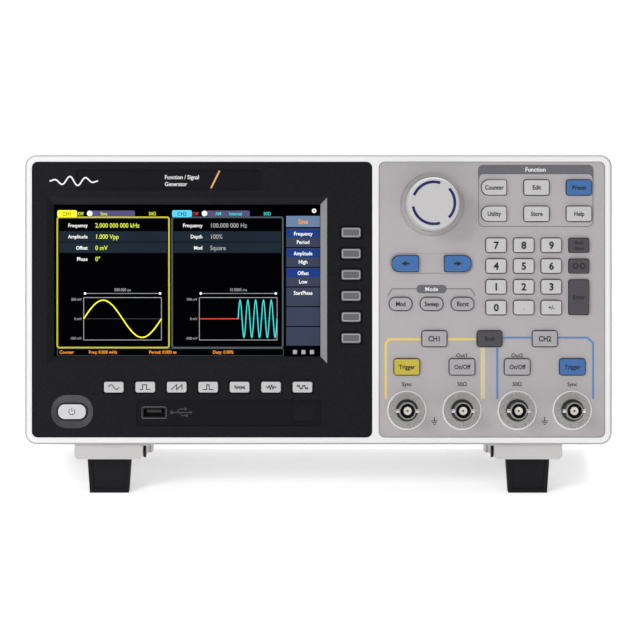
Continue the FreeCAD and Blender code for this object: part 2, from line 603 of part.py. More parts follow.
def make_sockets():
    """The mains inlet, network, square data and three coaxial sockets of the rear, and the front port."""
    body = new_body("sockets")
    centres = [(f"(Dims.rear_jack_x + {index} * Dims.rear_pitch)", "Dims.rear_z") for index in range(3)]
    ring = lay_jacks(body, centres, "Dims.case_depth", 1)
    pad(body, ring("Dims.shank_size"), f"{COVER_INSIDE} - 4", "Dims.case_depth")
    pad(body, ring("Dims.nut_size"), f"{COVER_INSIDE} - Dims.nut_thick", COVER_INSIDE)

    out = "Dims.case_depth + Dims.flange_out"
    flange = Outlines()
    flange.centred("Dims.inlet_x", "Dims.inlet_z", "Dims.inlet_width", "Dims.inlet_height", "2",
                   grow="Dims.inlet_flange")
    pad(body, flange, "Dims.case_depth", out)
    shell = Outlines()
    shell.centred("Dims.inlet_x", "Dims.inlet_z", "Dims.inlet_width", "Dims.inlet_height",
                  grow="Dims.port_wall")
    pad(body, shell, f"{out} - Dims.inlet_depth - 4", "Dims.case_depth")
    cavity = Outlines()
    cavity.centred("Dims.inlet_x", "Dims.inlet_z", "Dims.inlet_width", "Dims.inlet_height")
    pocket(body, cavity, f"{out} - Dims.inlet_depth", out)
    blades = Outlines()
    for x, z in (("-1", "-1"), ("1", "-1"), ("0", "3")):
        blades.centred(f"(Dims.inlet_x + {x} * Dims.blade_gap)", f"(Dims.inlet_z + {z})",
                       "Dims.blade_width", "Dims.blade_height")
    pad(body, blades, f"{out} - Dims.inlet_depth", f"{out} - Dims.blade_back")

    front_face = "Dims.panel_front + Dims.strip_depth"
    rear_face = "Dims.case_depth + 0.4"
    add_port(body, "Dims.lan_x", "Dims.rear_z", "Dims.lan_width", "Dims.lan_height", "Dims.lan_wall",
             rear_face, -1, has_tongue=False)
    add_port(body, "Dims.square_x", "Dims.rear_z", "Dims.square_width", "Dims.square_height",
             "Dims.port_wall", rear_face, -1)
    add_port(body, "Dims.usb_x", "Dims.usb_z", "(Dims.usb_width - 2 * Dims.fit_gap)",
             "(Dims.usb_height - 2 * Dims.fit_gap)", "Dims.port_wall", front_face, 1)


def add_port(body, x, z, width, height, wall, face, way, has_tongue=True):
    """A square-mouthed socket that runs into the case from its face; way is 1 towards the rear."""
    def span(near, far):
        return (near, far) if way > 0 else (far, near)

    back = f"{face} + ({way}) * Dims.port_depth"
    floor = f"{back} - ({way})"
    shell = Outlines()
    shell.centred(x, z, width, height)
    pad(body, shell, *span(face, back))
    hollow = Outlines()
    hollow.centred(x, z, width, height, grow=f"-{wall}")
    pocket(body, hollow, *span(face, floor))
    if has_tongue:
        tongue = Outlines()
        tongue.centred(x, f"({z} + {height} / 8)", f"({width} * 0.6)", f"({height} * 0.24)")
        pad(body, tongue, *span(f"{face} + ({way}) * 1.2", floor))


def make_knob():
    """A hollow turned knob: a drafted skirt, an eased face and a hub bored for the stem."""
    body = new_body("knob")
    back = "(Dims.panel_front - Dims.knob_lift)"
    face = f"({back} - Dims.knob_long)"
    inner = "(Dims.knob_size - Dims.hub_shell)"
    revolve(body, [
        ("0", face), ("Dims.knob_face - 0.9", face), ("Dims.knob_face", f"{face} + 0.9"),
        ("Dims.knob_size", back), (inner, back), (inner, f"{face} + 3"), ("Dims.knob_hub", f"{face} + 3"),
        ("Dims.knob_hub", back), ("Dims.stem_size + Dims.run_gap", back),
        ("Dims.stem_size + Dims.run_gap", f"{back} - Dims.stem_long"), ("0", f"{back} - Dims.stem_long")],
        "Dims.knob_x", "Dims.knob_z")


def make_stem():
    """The push stem that carries the knob, with a collar behind the fascia and an end over its switch."""
    body = new_body("encoder_stem")
    revolve(body, [
        ("0", "Dims.panel_front - Dims.knob_lift - Dims.stem_long + 0.4"),
        ("Dims.stem_size", "Dims.panel_front - Dims.knob_lift - Dims.stem_long + 0.4"),
        ("Dims.stem_size", FLANGE_FRONT), ("Dims.stem_collar", FLANGE_FRONT),
        ("Dims.stem_collar", FLANGE_BACK), ("Dims.post_size", FLANGE_BACK),
        ("Dims.post_size", f"{FLANGE_BACK} + Dims.post_long"), ("0", f"{FLANGE_BACK} + Dims.post_long")],
        "Dims.knob_x", "Dims.knob_z")


def floor_at(depth):
    """Height of the bench under the opened legs, in the instrument's own frame."""
    return f"(-Dims.foot_height - (Dims.rest_line - ({depth})) * {FLOOR_DROP})"


def make_feet():
    """Two front feet with wells for the legs and two rear feet with a facet on the bench line."""
    body = new_body("feet")
    low = "-Dims.foot_height"
    for side in (-1, 1):
        mid = f"({side} * Dims.foot_mid)"
        foot = Outlines()
        foot.polygon([
            (f"{mid} - Dims.foot_width / 2", "0"), (f"{mid} - Dims.foot_width / 2", f"{low} + Dims.foot_cut"),
            (f"{mid} - Dims.foot_width / 2 + Dims.foot_cut", low),
            (f"{mid} + Dims.foot_width / 2 - Dims.foot_cut", low),
            (f"{mid} + Dims.foot_width / 2", f"{low} + Dims.foot_cut"), (f"{mid} + Dims.foot_width / 2", "0")])
        pad(body, foot, "Dims.foot_front", "Dims.foot_back")
        well = Outlines()
        well.block(f"{mid} - Dims.well_half", f"{mid} + Dims.well_half", "Dims.well_front", "Dims.well_back")
        pocket(body, well, low, "-Dims.well_roof", "XY_Plane")
        axle = Outlines()
        axle.disc("Dims.leg_mid", "-Dims.leg_pivot", "Dims.axle_size + Dims.axle_gap")
        pocket(body, axle, f"{mid} - Dims.foot_width / 2", f"{mid} + Dims.foot_width / 2", "YZ_Plane")
        rest = Outlines()
        rest.polygon([
            ("Dims.rest_front", "0"), ("Dims.rest_front", low), ("Dims.rest_line", low),
            ("Dims.rest_back", floor_at("Dims.rest_back")), ("Dims.rest_back", "0")])
        pad(body, rest, f"{mid} - Dims.foot_width / 2", f"{mid} + Dims.foot_width / 2", "YZ_Plane")


def make_leg(name, side):
    """A folding leg: a tapered plate with a sunk front panel, cut on the bench line, on its axle."""
    body = new_body(name)
    mid = f"({side} * Dims.foot_mid)"
    front = "(Dims.leg_mid - Dims.leg_thick / 2)"
    back = "(Dims.leg_mid + Dims.leg_thick / 2)"
    profile = Outlines()
    profile.polygon([
        (front, "-Dims.leg_pivot"), (front, floor_at(front)), (back, floor_at(back)), (back, "-Dims.leg_pivot")])
    pad(body, profile, f"{mid} - Dims.leg_top / 2", f"{mid} + Dims.leg_top / 2", "YZ_Plane")
    knuckle = Outlines()
    knuckle.disc("Dims.leg_mid", "-Dims.leg_pivot", "Dims.leg_thick / 2")
    pad(body, knuckle, f"{mid} - Dims.leg_top / 2", f"{mid} + Dims.leg_top / 2", "YZ_Plane")
    for hand in (-1, 1):
        sliver = Outlines()
        sliver.polygon([
            (f"{mid} + {hand} * (Dims.leg_top / 2 + 1)", "-Dims.foot_height - 1"),
            (f"{mid} + {hand} * Dims.leg_top / 2", "-Dims.foot_height - 1"),
            (f"{mid} + {hand} * Dims.leg_tip / 2", f"{floor_at(front)} - 1"),
            (f"{mid} + {hand} * (Dims.leg_top / 2 + 1)", f"{floor_at(front)} - 1")])
        pocket(body, sliver, f"{front} - 1", f"{back} + 1")
    sink = Outlines()
    sink.polygon([
        (f"{mid} - Dims.leg_top / 2 + Dims.leg_border", "-Dims.foot_height - Dims.leg_border"),
        (f"{mid} + Dims.leg_top / 2 - Dims.leg_border", "-Dims.foot_height - Dims.leg_border"),
        (f"{mid} + Dims.leg_tip / 2 - Dims.leg_border", f"{floor_at(front)} + Dims.leg_border"),
        (f"{mid} - Dims.leg_tip / 2 + Dims.leg_border", f"{floor_at(front)} + Dims.leg_border")])
    pocket(body, sink, front, f"{front} + Dims.leg_sink")
    axle = Outlines()
    axle.disc("Dims.leg_mid", "-Dims.leg_pivot", "Dims.axle_size")
    inner = f"{mid} - {side} * (Dims.foot_width / 2 + Dims.axle_gap)"
    outer = f"{mid} + {side} * (Dims.foot_width / 2 - 1)"
    ends = (inner, outer) if side > 0 else (outer, inner)
    pad(body, axle, *ends, "YZ_Plane")
    head = Outlines()
    head.disc("Dims.leg_mid", "-Dims.leg_pivot", "Dims.head_size")
    tip = f"{inner} - {side} * Dims.head_thick"
    ends = (tip, inner) if side > 0 else (inner, tip)
    pad(body, head, *ends, "YZ_Plane")


def build():
    make_frame()
    make_bezel()
    make_fascia()
    make_display()
    make_cover()
    make_boards()
    make_front_jacks()
    make_sockets()
    make_knob()
    make_stem()
    make_feet()
    make_leg("left_leg", -1)
    make_leg("right_leg", 1)
    for key in bezel_keys():
        make_key(key, BEZEL_CAP_FRONT)
    for key in fascia_keys():
        make_key(key, CAP_FRONT)


def export():
    """Check every object, then write one file for each sub-part."""
    DOC.recompute()
    for item in DOC.Objects:
        if "Invalid" in item.State or "Error" in item.State:
            raise RuntimeError(f"{item.Name}: {item.State}")
    os.makedirs("parts", exist_ok=True)
    for body in DOC.findObjects("PartDesign::Body"):
        shape = body.Shape
        if shape.isNull() or not shape.isValid():
            raise RuntimeError(f"{body.Label}: not a valid shape")
        shape.exportStep(f"parts/{body.Label}.step")


build()
export()
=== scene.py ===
import json
import math
import bmesh
import bpy
from mathutils import Matrix, Vector


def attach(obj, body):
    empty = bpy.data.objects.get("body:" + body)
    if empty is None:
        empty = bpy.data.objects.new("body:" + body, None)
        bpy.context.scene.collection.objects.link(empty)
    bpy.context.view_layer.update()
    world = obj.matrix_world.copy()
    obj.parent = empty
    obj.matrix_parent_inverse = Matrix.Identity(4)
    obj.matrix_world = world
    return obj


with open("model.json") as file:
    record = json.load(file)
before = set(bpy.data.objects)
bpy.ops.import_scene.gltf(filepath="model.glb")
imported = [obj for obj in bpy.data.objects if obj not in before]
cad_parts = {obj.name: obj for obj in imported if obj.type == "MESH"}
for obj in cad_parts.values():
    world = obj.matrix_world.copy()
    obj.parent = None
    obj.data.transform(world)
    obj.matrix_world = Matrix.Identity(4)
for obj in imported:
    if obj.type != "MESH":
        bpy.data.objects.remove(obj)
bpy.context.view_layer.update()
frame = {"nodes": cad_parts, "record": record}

MM = 0.001
NODES = frame["nodes"]
KEY_LIP = 1.0
INK = 0.03

# ---- the instrument's own frame: X right, Y into the face, Z up from the underside, in mm ----


def joint_named(name):
    return next(joint for joint in frame["record"]["behaviour"]["joints"] if joint["name"] == name)


PRESS_AXIS = joint_named("power_key_press")["axis"]
TILT = math.atan2(-PRESS_AXIS[2], PRESS_AXIS[1])
TURN = Matrix.Rotation(-TILT, 4, "X")


def turned_box(node, inverse):
    points = [inverse @ vertex.co for vertex in NODES[node].data.vertices]
    low = [min(point[axis] for point in points) for axis in range(3)]
    high = [max(point[axis] for point in points) for axis in range(3)]
    return low, high


FRAME_LOW, FRAME_HIGH = turned_box("front_frame", TURN.inverted())
CORNER = Vector(((FRAME_LOW[0] + FRAME_HIGH[0]) / 2, FRAME_LOW[1], FRAME_LOW[2]))
LOCAL = TURN @ Matrix.Translation(CORNER) @ Matrix.Scale(MM, 4)
TO_LOCAL = LOCAL.inverted()


def local_box(node):
    """Lowest and highest corner of a CAD node in the instrument's own frame, in mm."""
    return turned_box(node, TO_LOCAL)


def centre_of(node):
    low, high = local_box(node)
    return (low[0] + high[0]) / 2, (low[2] + high[2]) / 2


CASE_LOW, CASE_HIGH = local_box("front_frame")
PANEL_LOW, PANEL_HIGH = local_box("keypad_fascia")
BEZEL_LOW, BEZEL_HIGH = local_box("display_bezel")
GLASS_LOW, GLASS_HIGH = local_box("touch_display")
COVER_LOW, COVER_HIGH = local_box("rear_cover")
PANEL_FRONT = PANEL_LOW[1]
GLASS_LAP = 2.2
SCREEN_LEFT = GLASS_LOW[0] + GLASS_LAP
SCREEN_RIGHT = GLASS_HIGH[0] - GLASS_LAP
SCREEN_LOW = GLASS_LOW[2] + GLASS_LAP
SCREEN_HIGH = GLASS_HIGH[2] - GLASS_LAP
BEVEL = 3.8
JACKS_LOW, JACKS_HIGH = local_box("output_jacks")
SEAT = 10.3
JACK_XS = [JACKS_LOW[0] + SEAT + index * (JACKS_HIGH[0] - JACKS_LOW[0] - 2 * SEAT) / 3 for index in range(4)]
JACK_Z = (JACKS_LOW[2] + JACKS_HIGH[2]) / 2

# ---- materials ----


def material(name, color, rough=0.5, grain=60.0, vary=0.06, bump=0.02, metal=0.0, coat=0.0, glow=0.0,
             specular=0.5):
    """A principled surface with noise in its colour, roughness and height."""
    made = bpy.data.materials.new(name)
    made.use_nodes = True
    tree = made.node_tree
    shader = tree.nodes["Principled BSDF"]
    shader.inputs["Metallic"].default_value = metal
    shader.inputs["Coat Weight"].default_value = coat
    shader.inputs["Coat Roughness"].default_value = 0.2
    shader.inputs["Specular IOR Level"].default_value = specular
    where = tree.nodes.new("ShaderNodeTexCoord")
    noise = tree.nodes.new("ShaderNodeTexNoise")
    noise.inputs["Scale"].default_value = grain * 10
    noise.inputs["Detail"].default_value = 4.0
    tree.links.new(where.outputs["Object"], noise.inputs["Vector"])
    ramp = tree.nodes.new("ShaderNodeValToRGB")
    ramp.color_ramp.elements[0].position = 0.3
    ramp.color_ramp.elements[1].position = 0.7
    ramp.color_ramp.elements[0].color = [channel * (1 - vary) for channel in color] + [1]
    ramp.color_ramp.elements[1].color = [min(1.0, channel * (1 + vary)) for channel in color] + [1]
    tree.links.new(noise.outputs["Fac"], ramp.inputs["Fac"])
    tree.links.new(ramp.outputs["Color"], shader.inputs["Base Color"])
    spread = tree.nodes.new("ShaderNodeMapRange")
    spread.inputs["To Min"].default_value = max(0.02, rough - 0.06)
    spread.inputs["To Max"].default_value = min(1.0, rough + 0.06)
    tree.links.new(noise.outputs["Fac"], spread.inputs["Value"])
    tree.links.new(spread.outputs["Result"], shader.inputs["Roughness"])
    if bump:
        lift = tree.nodes.new("ShaderNodeBump")
        lift.inputs["Strength"].default_value = bump
        lift.inputs["Distance"].default_value = 0.0002
        tree.links.new(noise.outputs["Fac"], lift.inputs["Height"])
        tree.links.new(lift.outputs["Normal"], shader.inputs["Normal"])
    if glow:
        tree.links.new(ramp.outputs["Color"], shader.inputs["Emission Color"])
        shader.inputs["Emission Strength"].default_value = glow
    return made


def painted_edge_shade(made, edge, start=0.80, full=0.985):
    """Painted shade: faces turned away from the user take a greyer tone, so the rounded edges look shaded."""
    tree = made.node_tree
    shader = tree.nodes["Principled BSDF"]
    face_color = shader.inputs["Base Color"].links[0].from_socket
    facing = tree.nodes.new("ShaderNodeVectorMath")
    facing.operation = "DOT_PRODUCT"
    facing.inputs[1].default_value = (0, -math.cos(TILT), math.sin(TILT))
    tree.links.new(tree.nodes.new("ShaderNodeNewGeometry").outputs["Normal"], facing.inputs[0])
    spread = tree.nodes.new("ShaderNodeMapRange")
    spread.inputs["From Min"].default_value = start
    spread.inputs["From Max"].default_value = full
    tree.links.new(facing.outputs["Value"], spread.inputs["Value"])
    mixed = tree.nodes.new("ShaderNodeMix")
    mixed.data_type = "RGBA"
    mixed.inputs["A"].default_value = (*edge, 1)
    tree.links.new(spread.outputs["Result"], mixed.inputs["Factor"])
    tree.links.new(face_color, mixed.inputs["B"])
    tree.links.new(mixed.outputs["Result"], shader.inputs["Base Color"])
    return made


def screen_ink(name, color, glow=0.35):
    """Light from the screen: black to reflections, with a faint unevenness of the backlight."""
    return material(name, color, rough=0.35, grain=6, vary=0.05, bump=0, glow=glow, specular=0.0)


FINISH = {
    # The frame's edges carry painted shade, greyer where they turn away from the user.
    "frame_plastic": painted_edge_shade(material("frame_plastic", (0.80, 0.80, 0.80), rough=0.42, grain=90, vary=0.012,
                                       bump=0.05), (0.33, 0.315, 0.325)),
    "fascia_plastic": material("fascia_plastic", (0.42, 0.395, 0.405), rough=0.55, grain=110, vary=0.03,
                               bump=0.12, specular=0.3),
    "bezel_plastic": material("bezel_plastic", (0.0065, 0.0065, 0.0090), rough=0.55, grain=130, vary=0.5,
                              bump=0.4, specular=0.14),
    "screen_glass": material("screen_glass", (0.004, 0.004, 0.007), rough=0.1, grain=10, bump=0, coat=0.15,
                             specular=0.2),
    "cover_plastic": material("cover_plastic", (0.40, 0.39, 0.395), rough=0.6, grain=110, vary=0.03, bump=0.2),
    "board_laminate": material("board_laminate", (0.02, 0.13, 0.06), rough=0.4, grain=40),
    "jack_metal": material("jack_metal", (0.66, 0.65, 0.64), rough=0.28, grain=60, vary=0.06, metal=1.0, bump=0.03),
    "socket_plastic": material("socket_plastic", (0.018, 0.018, 0.02), rough=0.45, grain=100, vary=0.15, bump=0.1),
    "foot_plastic": material("foot_plastic", (0.56, 0.545, 0.545), rough=0.55, grain=110, vary=0.03, bump=0.15),
    "knob_plastic": material("knob_plastic", (0.53, 0.52, 0.52), rough=0.40, grain=100, vary=0.025, bump=0.05),
    "stem_metal": material("stem_metal", (0.55, 0.55, 0.55), rough=0.3, metal=1.0),
    "leg_plastic": material("leg_plastic", (0.006, 0.006, 0.009), rough=0.5, grain=100, vary=0.2, bump=0.2,
                            specular=0.2),
    "key_power": material("key_power", (0.60, 0.60, 0.62), rough=0.25, grain=30, vary=0.03, bump=0, coat=0.4),
    "key_light": material("key_light", (0.52, 0.51, 0.515), rough=0.42, grain=100, vary=0.02, bump=0.04),
    "key_soft": material("key_soft", (0.11, 0.11, 0.12), rough=0.5, grain=100, vary=0.05, bump=0.08),
    "key_blue": material("key_blue", (0.042, 0.14, 0.37), rough=0.42, grain=100, vary=0.06, bump=0.05),
    "key_yellow": material("key_yellow", (0.52, 0.42, 0.045), rough=0.42, grain=100, vary=0.05, bump=0.05),
    "key_grey": material("key_grey", (0.37, 0.355, 0.375), rough=0.45, grain=100, vary=0.025, bump=0.05),
    "key_dark": material("key_dark", (0.058, 0.055, 0.064), rough=0.45, grain=100, vary=0.08, bump=0.08),
}

BLACK_INK = material("black_ink", (0.006, 0.006, 0.008), rough=0.5, grain=80, vary=0.2)
DARK_INK = material("dark_ink", (0.055, 0.055, 0.065), rough=0.5, grain=80, vary=0.06)
BAND_INK = material("band_ink", (0.125, 0.122, 0.145), rough=0.5, grain=80, vary=0.06)
LINE_INK = material("line_ink", (0.21, 0.205, 0.215), rough=0.5, grain=80, vary=0.06)
WHITE_INK = material("white_ink", (0.82, 0.82, 0.82), rough=0.5, grain=80, vary=0.03)
YELLOW_INK = material("yellow_ink", (0.78, 0.58, 0.12), rough=0.5, grain=80, vary=0.04)
PALE_YELLOW = material("pale_yellow_ink", (0.62, 0.56, 0.32), rough=0.5, grain=80, vary=0.04)
BLUE_INK = material("blue_ink", (0.10, 0.22, 0.45), rough=0.5, grain=80, vary=0.05)
ARC_INK = material("arc_ink", (0.006, 0.010, 0.11), rough=0.4, grain=80, vary=0.1)
ORANGE_INK = material("orange_ink", (0.72, 0.42, 0.13), rough=0.5, grain=80, vary=0.05)
# Near-black for the soft key index lines, and painted shade lining the floors of the strip and name recesses.
DARK_LINES_AND_RECESS_SHADE = material("dark_lines_and_recess_shade", (0.004, 0.004, 0.006), rough=0.7, grain=90, vary=0.2, specular=0.15)
# Painted highlight on the right bevel of the screen recess.
BEVEL_LIT = material("bevel_lit", (0.24, 0.235, 0.24), rough=0.45, grain=110, vary=0.08, bump=0.1)
# Painted highlight on the sloped dish round the power key; also the grey of the port symbol.
DISH_HIGHLIGHT_AND_SYMBOL = material("dish_highlight_and_symbol", (0.045, 0.045, 0.05), rough=0.35, grain=110, vary=0.15, bump=0.1)
CREAM = material("jack_insulator", (0.70, 0.69, 0.64), rough=0.4, grain=60, vary=0.03)
GOLD = material("jack_pin", (0.72, 0.55, 0.25), rough=0.25, metal=1.0)
# Painted shade in the gap round each jack barrel and down its bore.
JACK_GAP_SHADE = material("jack_ring", (0.012, 0.012, 0.014), rough=0.5, grain=80, vary=0.15)
# Painted highlight on the chamfered rim of each jack seat.
SEAT_RIM_HIGHLIGHT = material("seat_ring", (0.66, 0.65, 0.65), rough=0.45, grain=90, vary=0.02)

SCREEN = {
    "black": screen_ink("screen_black", (0.0006, 0.0006, 0.0012)),
    "row": screen_ink("screen_row", (0.010, 0.017, 0.026)),
    "white": screen_ink("screen_white", (0.86, 0.88, 0.88)),
    "yellow": screen_ink("screen_yellow", (0.86, 0.84, 0.03)),
    "lime": screen_ink("screen_lime", (0.62, 0.72, 0.06)),
    "olive": screen_ink("screen_olive", (0.42, 0.40, 0.03)),
    "violet": screen_ink("screen_violet", (0.075, 0.065, 0.16)),
    "cyan": screen_ink("screen_cyan", (0.09, 0.52, 0.80)),
    "teal": screen_ink("screen_teal", (0.04, 0.62, 0.60)),
    "dim": screen_ink("screen_dim", (0.06, 0.075, 0.085)),
    "grey": screen_ink("screen_grey", (0.30, 0.31, 0.32)),
    "orange": screen_ink("screen_orange", (0.85, 0.30, 0.03)),
    "red": screen_ink("screen_red", (0.60, 0.05, 0.03)),
    "slate": screen_ink("screen_slate", (0.105, 0.165, 0.27)),
    "menu": screen_ink("screen_menu", (0.035, 0.042, 0.072)),
    "navy": screen_ink("screen_navy", (0.010, 0.035, 0.17)),
}

# ---- building in the instrument's own frame ----


class Piece:
    """One named visual piece, gathered as thin solids that face the user."""

    def __init__(self, name, finish, body="case", slot="fascia_plastic"):
        self.name = name
        self.finish = finish
        self.body = body
        self.slot = slot
        self.mesh = bmesh.new()

    def slab(self, outline, front, thick=0.05):
        """A flat prism with that (x, z) outline."""
        near = [self.mesh.verts.new((x, front, z)) for x, z in outline]
        far = [self.mesh.verts.new((x, front + thick, z)) for x, z in outline]
        self.mesh.faces.new(near)
        self.mesh.faces.new(far[::-1])
        count = len(outline)
        for index in range(count):
            after = (index + 1) % count
            self.mesh.faces.new((near[after], near[index], far[index], far[after]))

    def rect(self, left, right, low, high, front, thick=0.05, corner=0.0, steps=5):
        self.slab(rounded(left, right, low, high, corner, steps), front, thick)

    def frame(self, left, right, low, high, width, front, corner=1.0):
        """An open rounded outline of that line width."""
        self.ribbon(rounded(left, right, low, high, corner, 5), width, front, closed=True)

    def ribbon(self, points, width, front, closed=False, thick=0.05):
        """A line of that width along (x, z) points, mitred at its corners."""
        count = len(points)
        sides = []
        for index in range(count):
            here = Vector(points[index])
            before = Vector(points[index - 1]) if closed or index else None
            after = Vector(points[(index + 1) % count]) if closed or index < count - 1 else None
            ways = []
            if before is not None:
                ways.append((here - before).normalized())
            if after is not None:
                ways.append((after - here).normalized())
            mean = sum(ways, Vector((0, 0))).normalized()
            normal = Vector((-mean.y, mean.x))
            stretch = 1 / max(0.4, mean.dot(ways[0]))
            sides.append((here + normal * width / 2 * stretch, here - normal * width / 2 * stretch))
        rings = []
        for left, right in sides:
            rings.append([self.mesh.verts.new((left.x, front, left.y)), self.mesh.verts.new((right.x, front, right.y)),
                          self.mesh.verts.new((right.x, front + thick, right.y)),
                          self.mesh.verts.new((left.x, front + thick, left.y))])
        spans = count if closed else count - 1
        for index in range(spans):
            one, two = rings[index], rings[(index + 1) % count]
            for edge in range(4):
                nxt = (edge + 1) % 4
                self.mesh.faces.new((one[edge], one[nxt], two[nxt], two[edge]))
        if not closed:
            self.mesh.faces.new(rings[0][::-1])
            self.mesh.faces.new(rings[-1])

    def slope(self, outer, outer_depth, inner, inner_depth):
        """A thin band from one closed outline to another, both with the same number of points."""
        rings = [[self.mesh.verts.new((x, depth + lift, z)) for x, z in outline]
                 for lift in (0, 0.05) for outline, depth in ((outer, outer_depth), (inner, inner_depth))]
        near_out, near_in, far_out, far_in = rings
        count = len(outer)
        for index in range(count):
            after = (index + 1) % count
            for one, two in ((near_out, near_in), (near_in, far_in), (far_in, far_out), (far_out, near_out)):
                self.mesh.faces.new((one[index], one[after], two[after], two[index]))

    def disc(self, x, z, radius, front, thick=0.05, steps=40):
        self.slab(arc(x, z, radius, 0, 360, steps)[:-1], front, thick)

    def ring(self, x, z, outer, inner, front, thick=0.05, steps=56):
        self.ribbon(arc(x, z, (outer + inner) / 2, 0, 360, steps)[:-1], outer - inner, front, closed=True,
                    thick=thick)

    def text(self, words, x, z, height, front, bold=0.0, align="CENTER", stretch=1.0, rear=False):
        """Printed words whose capitals are that high, centred on z, read from the front or the rear."""
        curve = bpy.data.curves.new("words", "FONT")
        curve.body = words
        curve.size = height / 0.7
        curve.align_x = align
        curve.offset = bold * height
        curve.extrude = 0.02
        curve.resolution_u = 3
        made = bpy.data.objects.new("words", curve)
        bpy.context.scene.collection.objects.link(made)
        bpy.context.view_layer.update()
        graph = bpy.context.evaluated_depsgraph_get()
        mesh = bpy.data.meshes.new_from_object(made.evaluated_get(graph))
        place = (Matrix.Translation((x, front + 0.02, z - height * 0.5))
                 @ Matrix.Rotation(math.pi if rear else 0, 4, "Z") @ Matrix.Rotation(math.pi / 2, 4, "X")
                 @ Matrix.Diagonal((stretch, 1, 1, 1)))
        mesh.transform(place)
        self.mesh.from_mesh(mesh)
        bpy.data.objects.remove(made)
        bpy.data.curves.remove(curve)
        bpy.data.meshes.remove(mesh)

    def lathe(self, profile, x, z, steps=64):
        """Turn (radius, depth) points about the line along Y through (x, z)."""
        rings = []
        for radius, depth in profile:
            if radius < 1e-6:
                rings.append([self.mesh.verts.new((x, depth, z))])
                continue
            rings.append([self.mesh.verts.new((x + radius * math.cos(math.tau * step / steps), depth,
                                               z + radius * math.sin(math.tau * step / steps)))
                          for step in range(steps)])
        for one, two in zip(rings, rings[1:]):
            for step in range(steps):
                after = (step + 1) % steps
                corners = []
                for ring, position in ((one, step), (one, after), (two, after), (two, step)):
                    vertex = ring[position % len(ring)]
                    if vertex not in corners:
                        corners.append(vertex)
                if len(corners) > 2:
                    self.mesh.faces.new(corners)

    def place(self, smooth=False):
        bmesh.ops.remove_doubles(self.mesh, verts=self.mesh.verts, dist=1e-5)
        bmesh.ops.recalc_face_normals(self.mesh, faces=self.mesh.faces)
        data = bpy.data.meshes.new(self.name)
        self.mesh.to_mesh(data)
        self.mesh.free()
        data.transform(LOCAL)
        data.materials.append(self.finish)
        if smooth:
            for face in data.polygons:
                face.use_smooth = True
        made = bpy.data.objects.new(self.name, data)
        bpy.context.scene.collection.objects.link(made)
        if smooth:
            split = made.modifiers.new("edges", "EDGE_SPLIT")
            split.split_angle = math.radians(32)
        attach(made, self.body)
        return made


def arc(x, z, radius, start, end, steps):
    turns = [math.radians(start + (end - start) * step / steps) for step in range(steps + 1)]
    return [(x + radius * math.cos(turn), z + radius * math.sin(turn)) for turn in turns]


def rounded(left, right, low, high, corner, steps=5):
    if corner <= 0:
        return [(left, low), (right, low), (right, high), (left, high)]
    points = []
    for x, z, start in ((right - corner, low + corner, -90), (right - corner, high - corner, 0),
                        (left + corner, high - corner, 90), (left + corner, low + corner, 180)):
        points += arc(x, z, corner, start, start + 90, steps)
    return points


def body_name(node):
    for body, nodes in frame["record"]["behaviour"]["bodies"].items():
        if node in nodes:
            return body
    raise KeyError(node)


def finish_nodes():
    """The CAD solids take the finish of their slot and are shaded smooth between sharp edges."""
    slots = {part["node"]: part["material_slot"] for part in frame["record"]["subparts"]}
    for node, thing in NODES.items():
        thing.data.materials.clear()
        light_menu = node in ("counter_key", "edit_key", "utility_key", "store_key", "help_key")
        thing.data.materials.append(FINISH["key_light" if light_menu else slots[node]])
        for face in thing.data.polygons:
            face.use_smooth = True
        split = thing.modifiers.new("edges", "EDGE_SPLIT")
        split.split_angle = math.radians(28)


# ---- legends on the keys ----

WORDS = {
    "mod_key": "Mod", "sweep_key": "Sweep", "burst_key": "Burst", "counter_key": "Counter",
    "edit_key": "Edit", "preset_key": "Preset", "utility_key": "Utility", "store_key": "Store",
    "help_key": "Help", "channel_1_key": "CH1", "channel_2_key": "CH2", "both_key": "Both",
    "trigger_1_key": "Trigger", "trigger_2_key": "Trigger", "output_1_key": "On/Off",
    "output_2_key": "On/Off", "point_key": ".", "sign_key": "+/-",
}


def key_piece(node, suffix, finish):
    return Piece(f"{node}_{suffix}", finish, body_name(node), "key_dark")


def key_words():
    for node, words in WORDS.items():
        low, _ = local_box(node)
        x, z = centre_of(node)
        tall = 3.0 if words.startswith("CH") else 2.5
        piece = key_piece(node, "legend", BLACK_INK)
        piece.text(words, x, z, tall, low[1] - INK, bold=0.04, stretch=0.88)
        piece.place()
    for digit in range(10):
        node = f"digit_{digit}_key"
        low, _ = local_box(node)
        x, z = centre_of(node)
        piece = key_piece(node, "legend", BLACK_INK)
        piece.text(str(digit), x, z, 4.0, low[1] - INK, bold=0.05)
        piece.place()


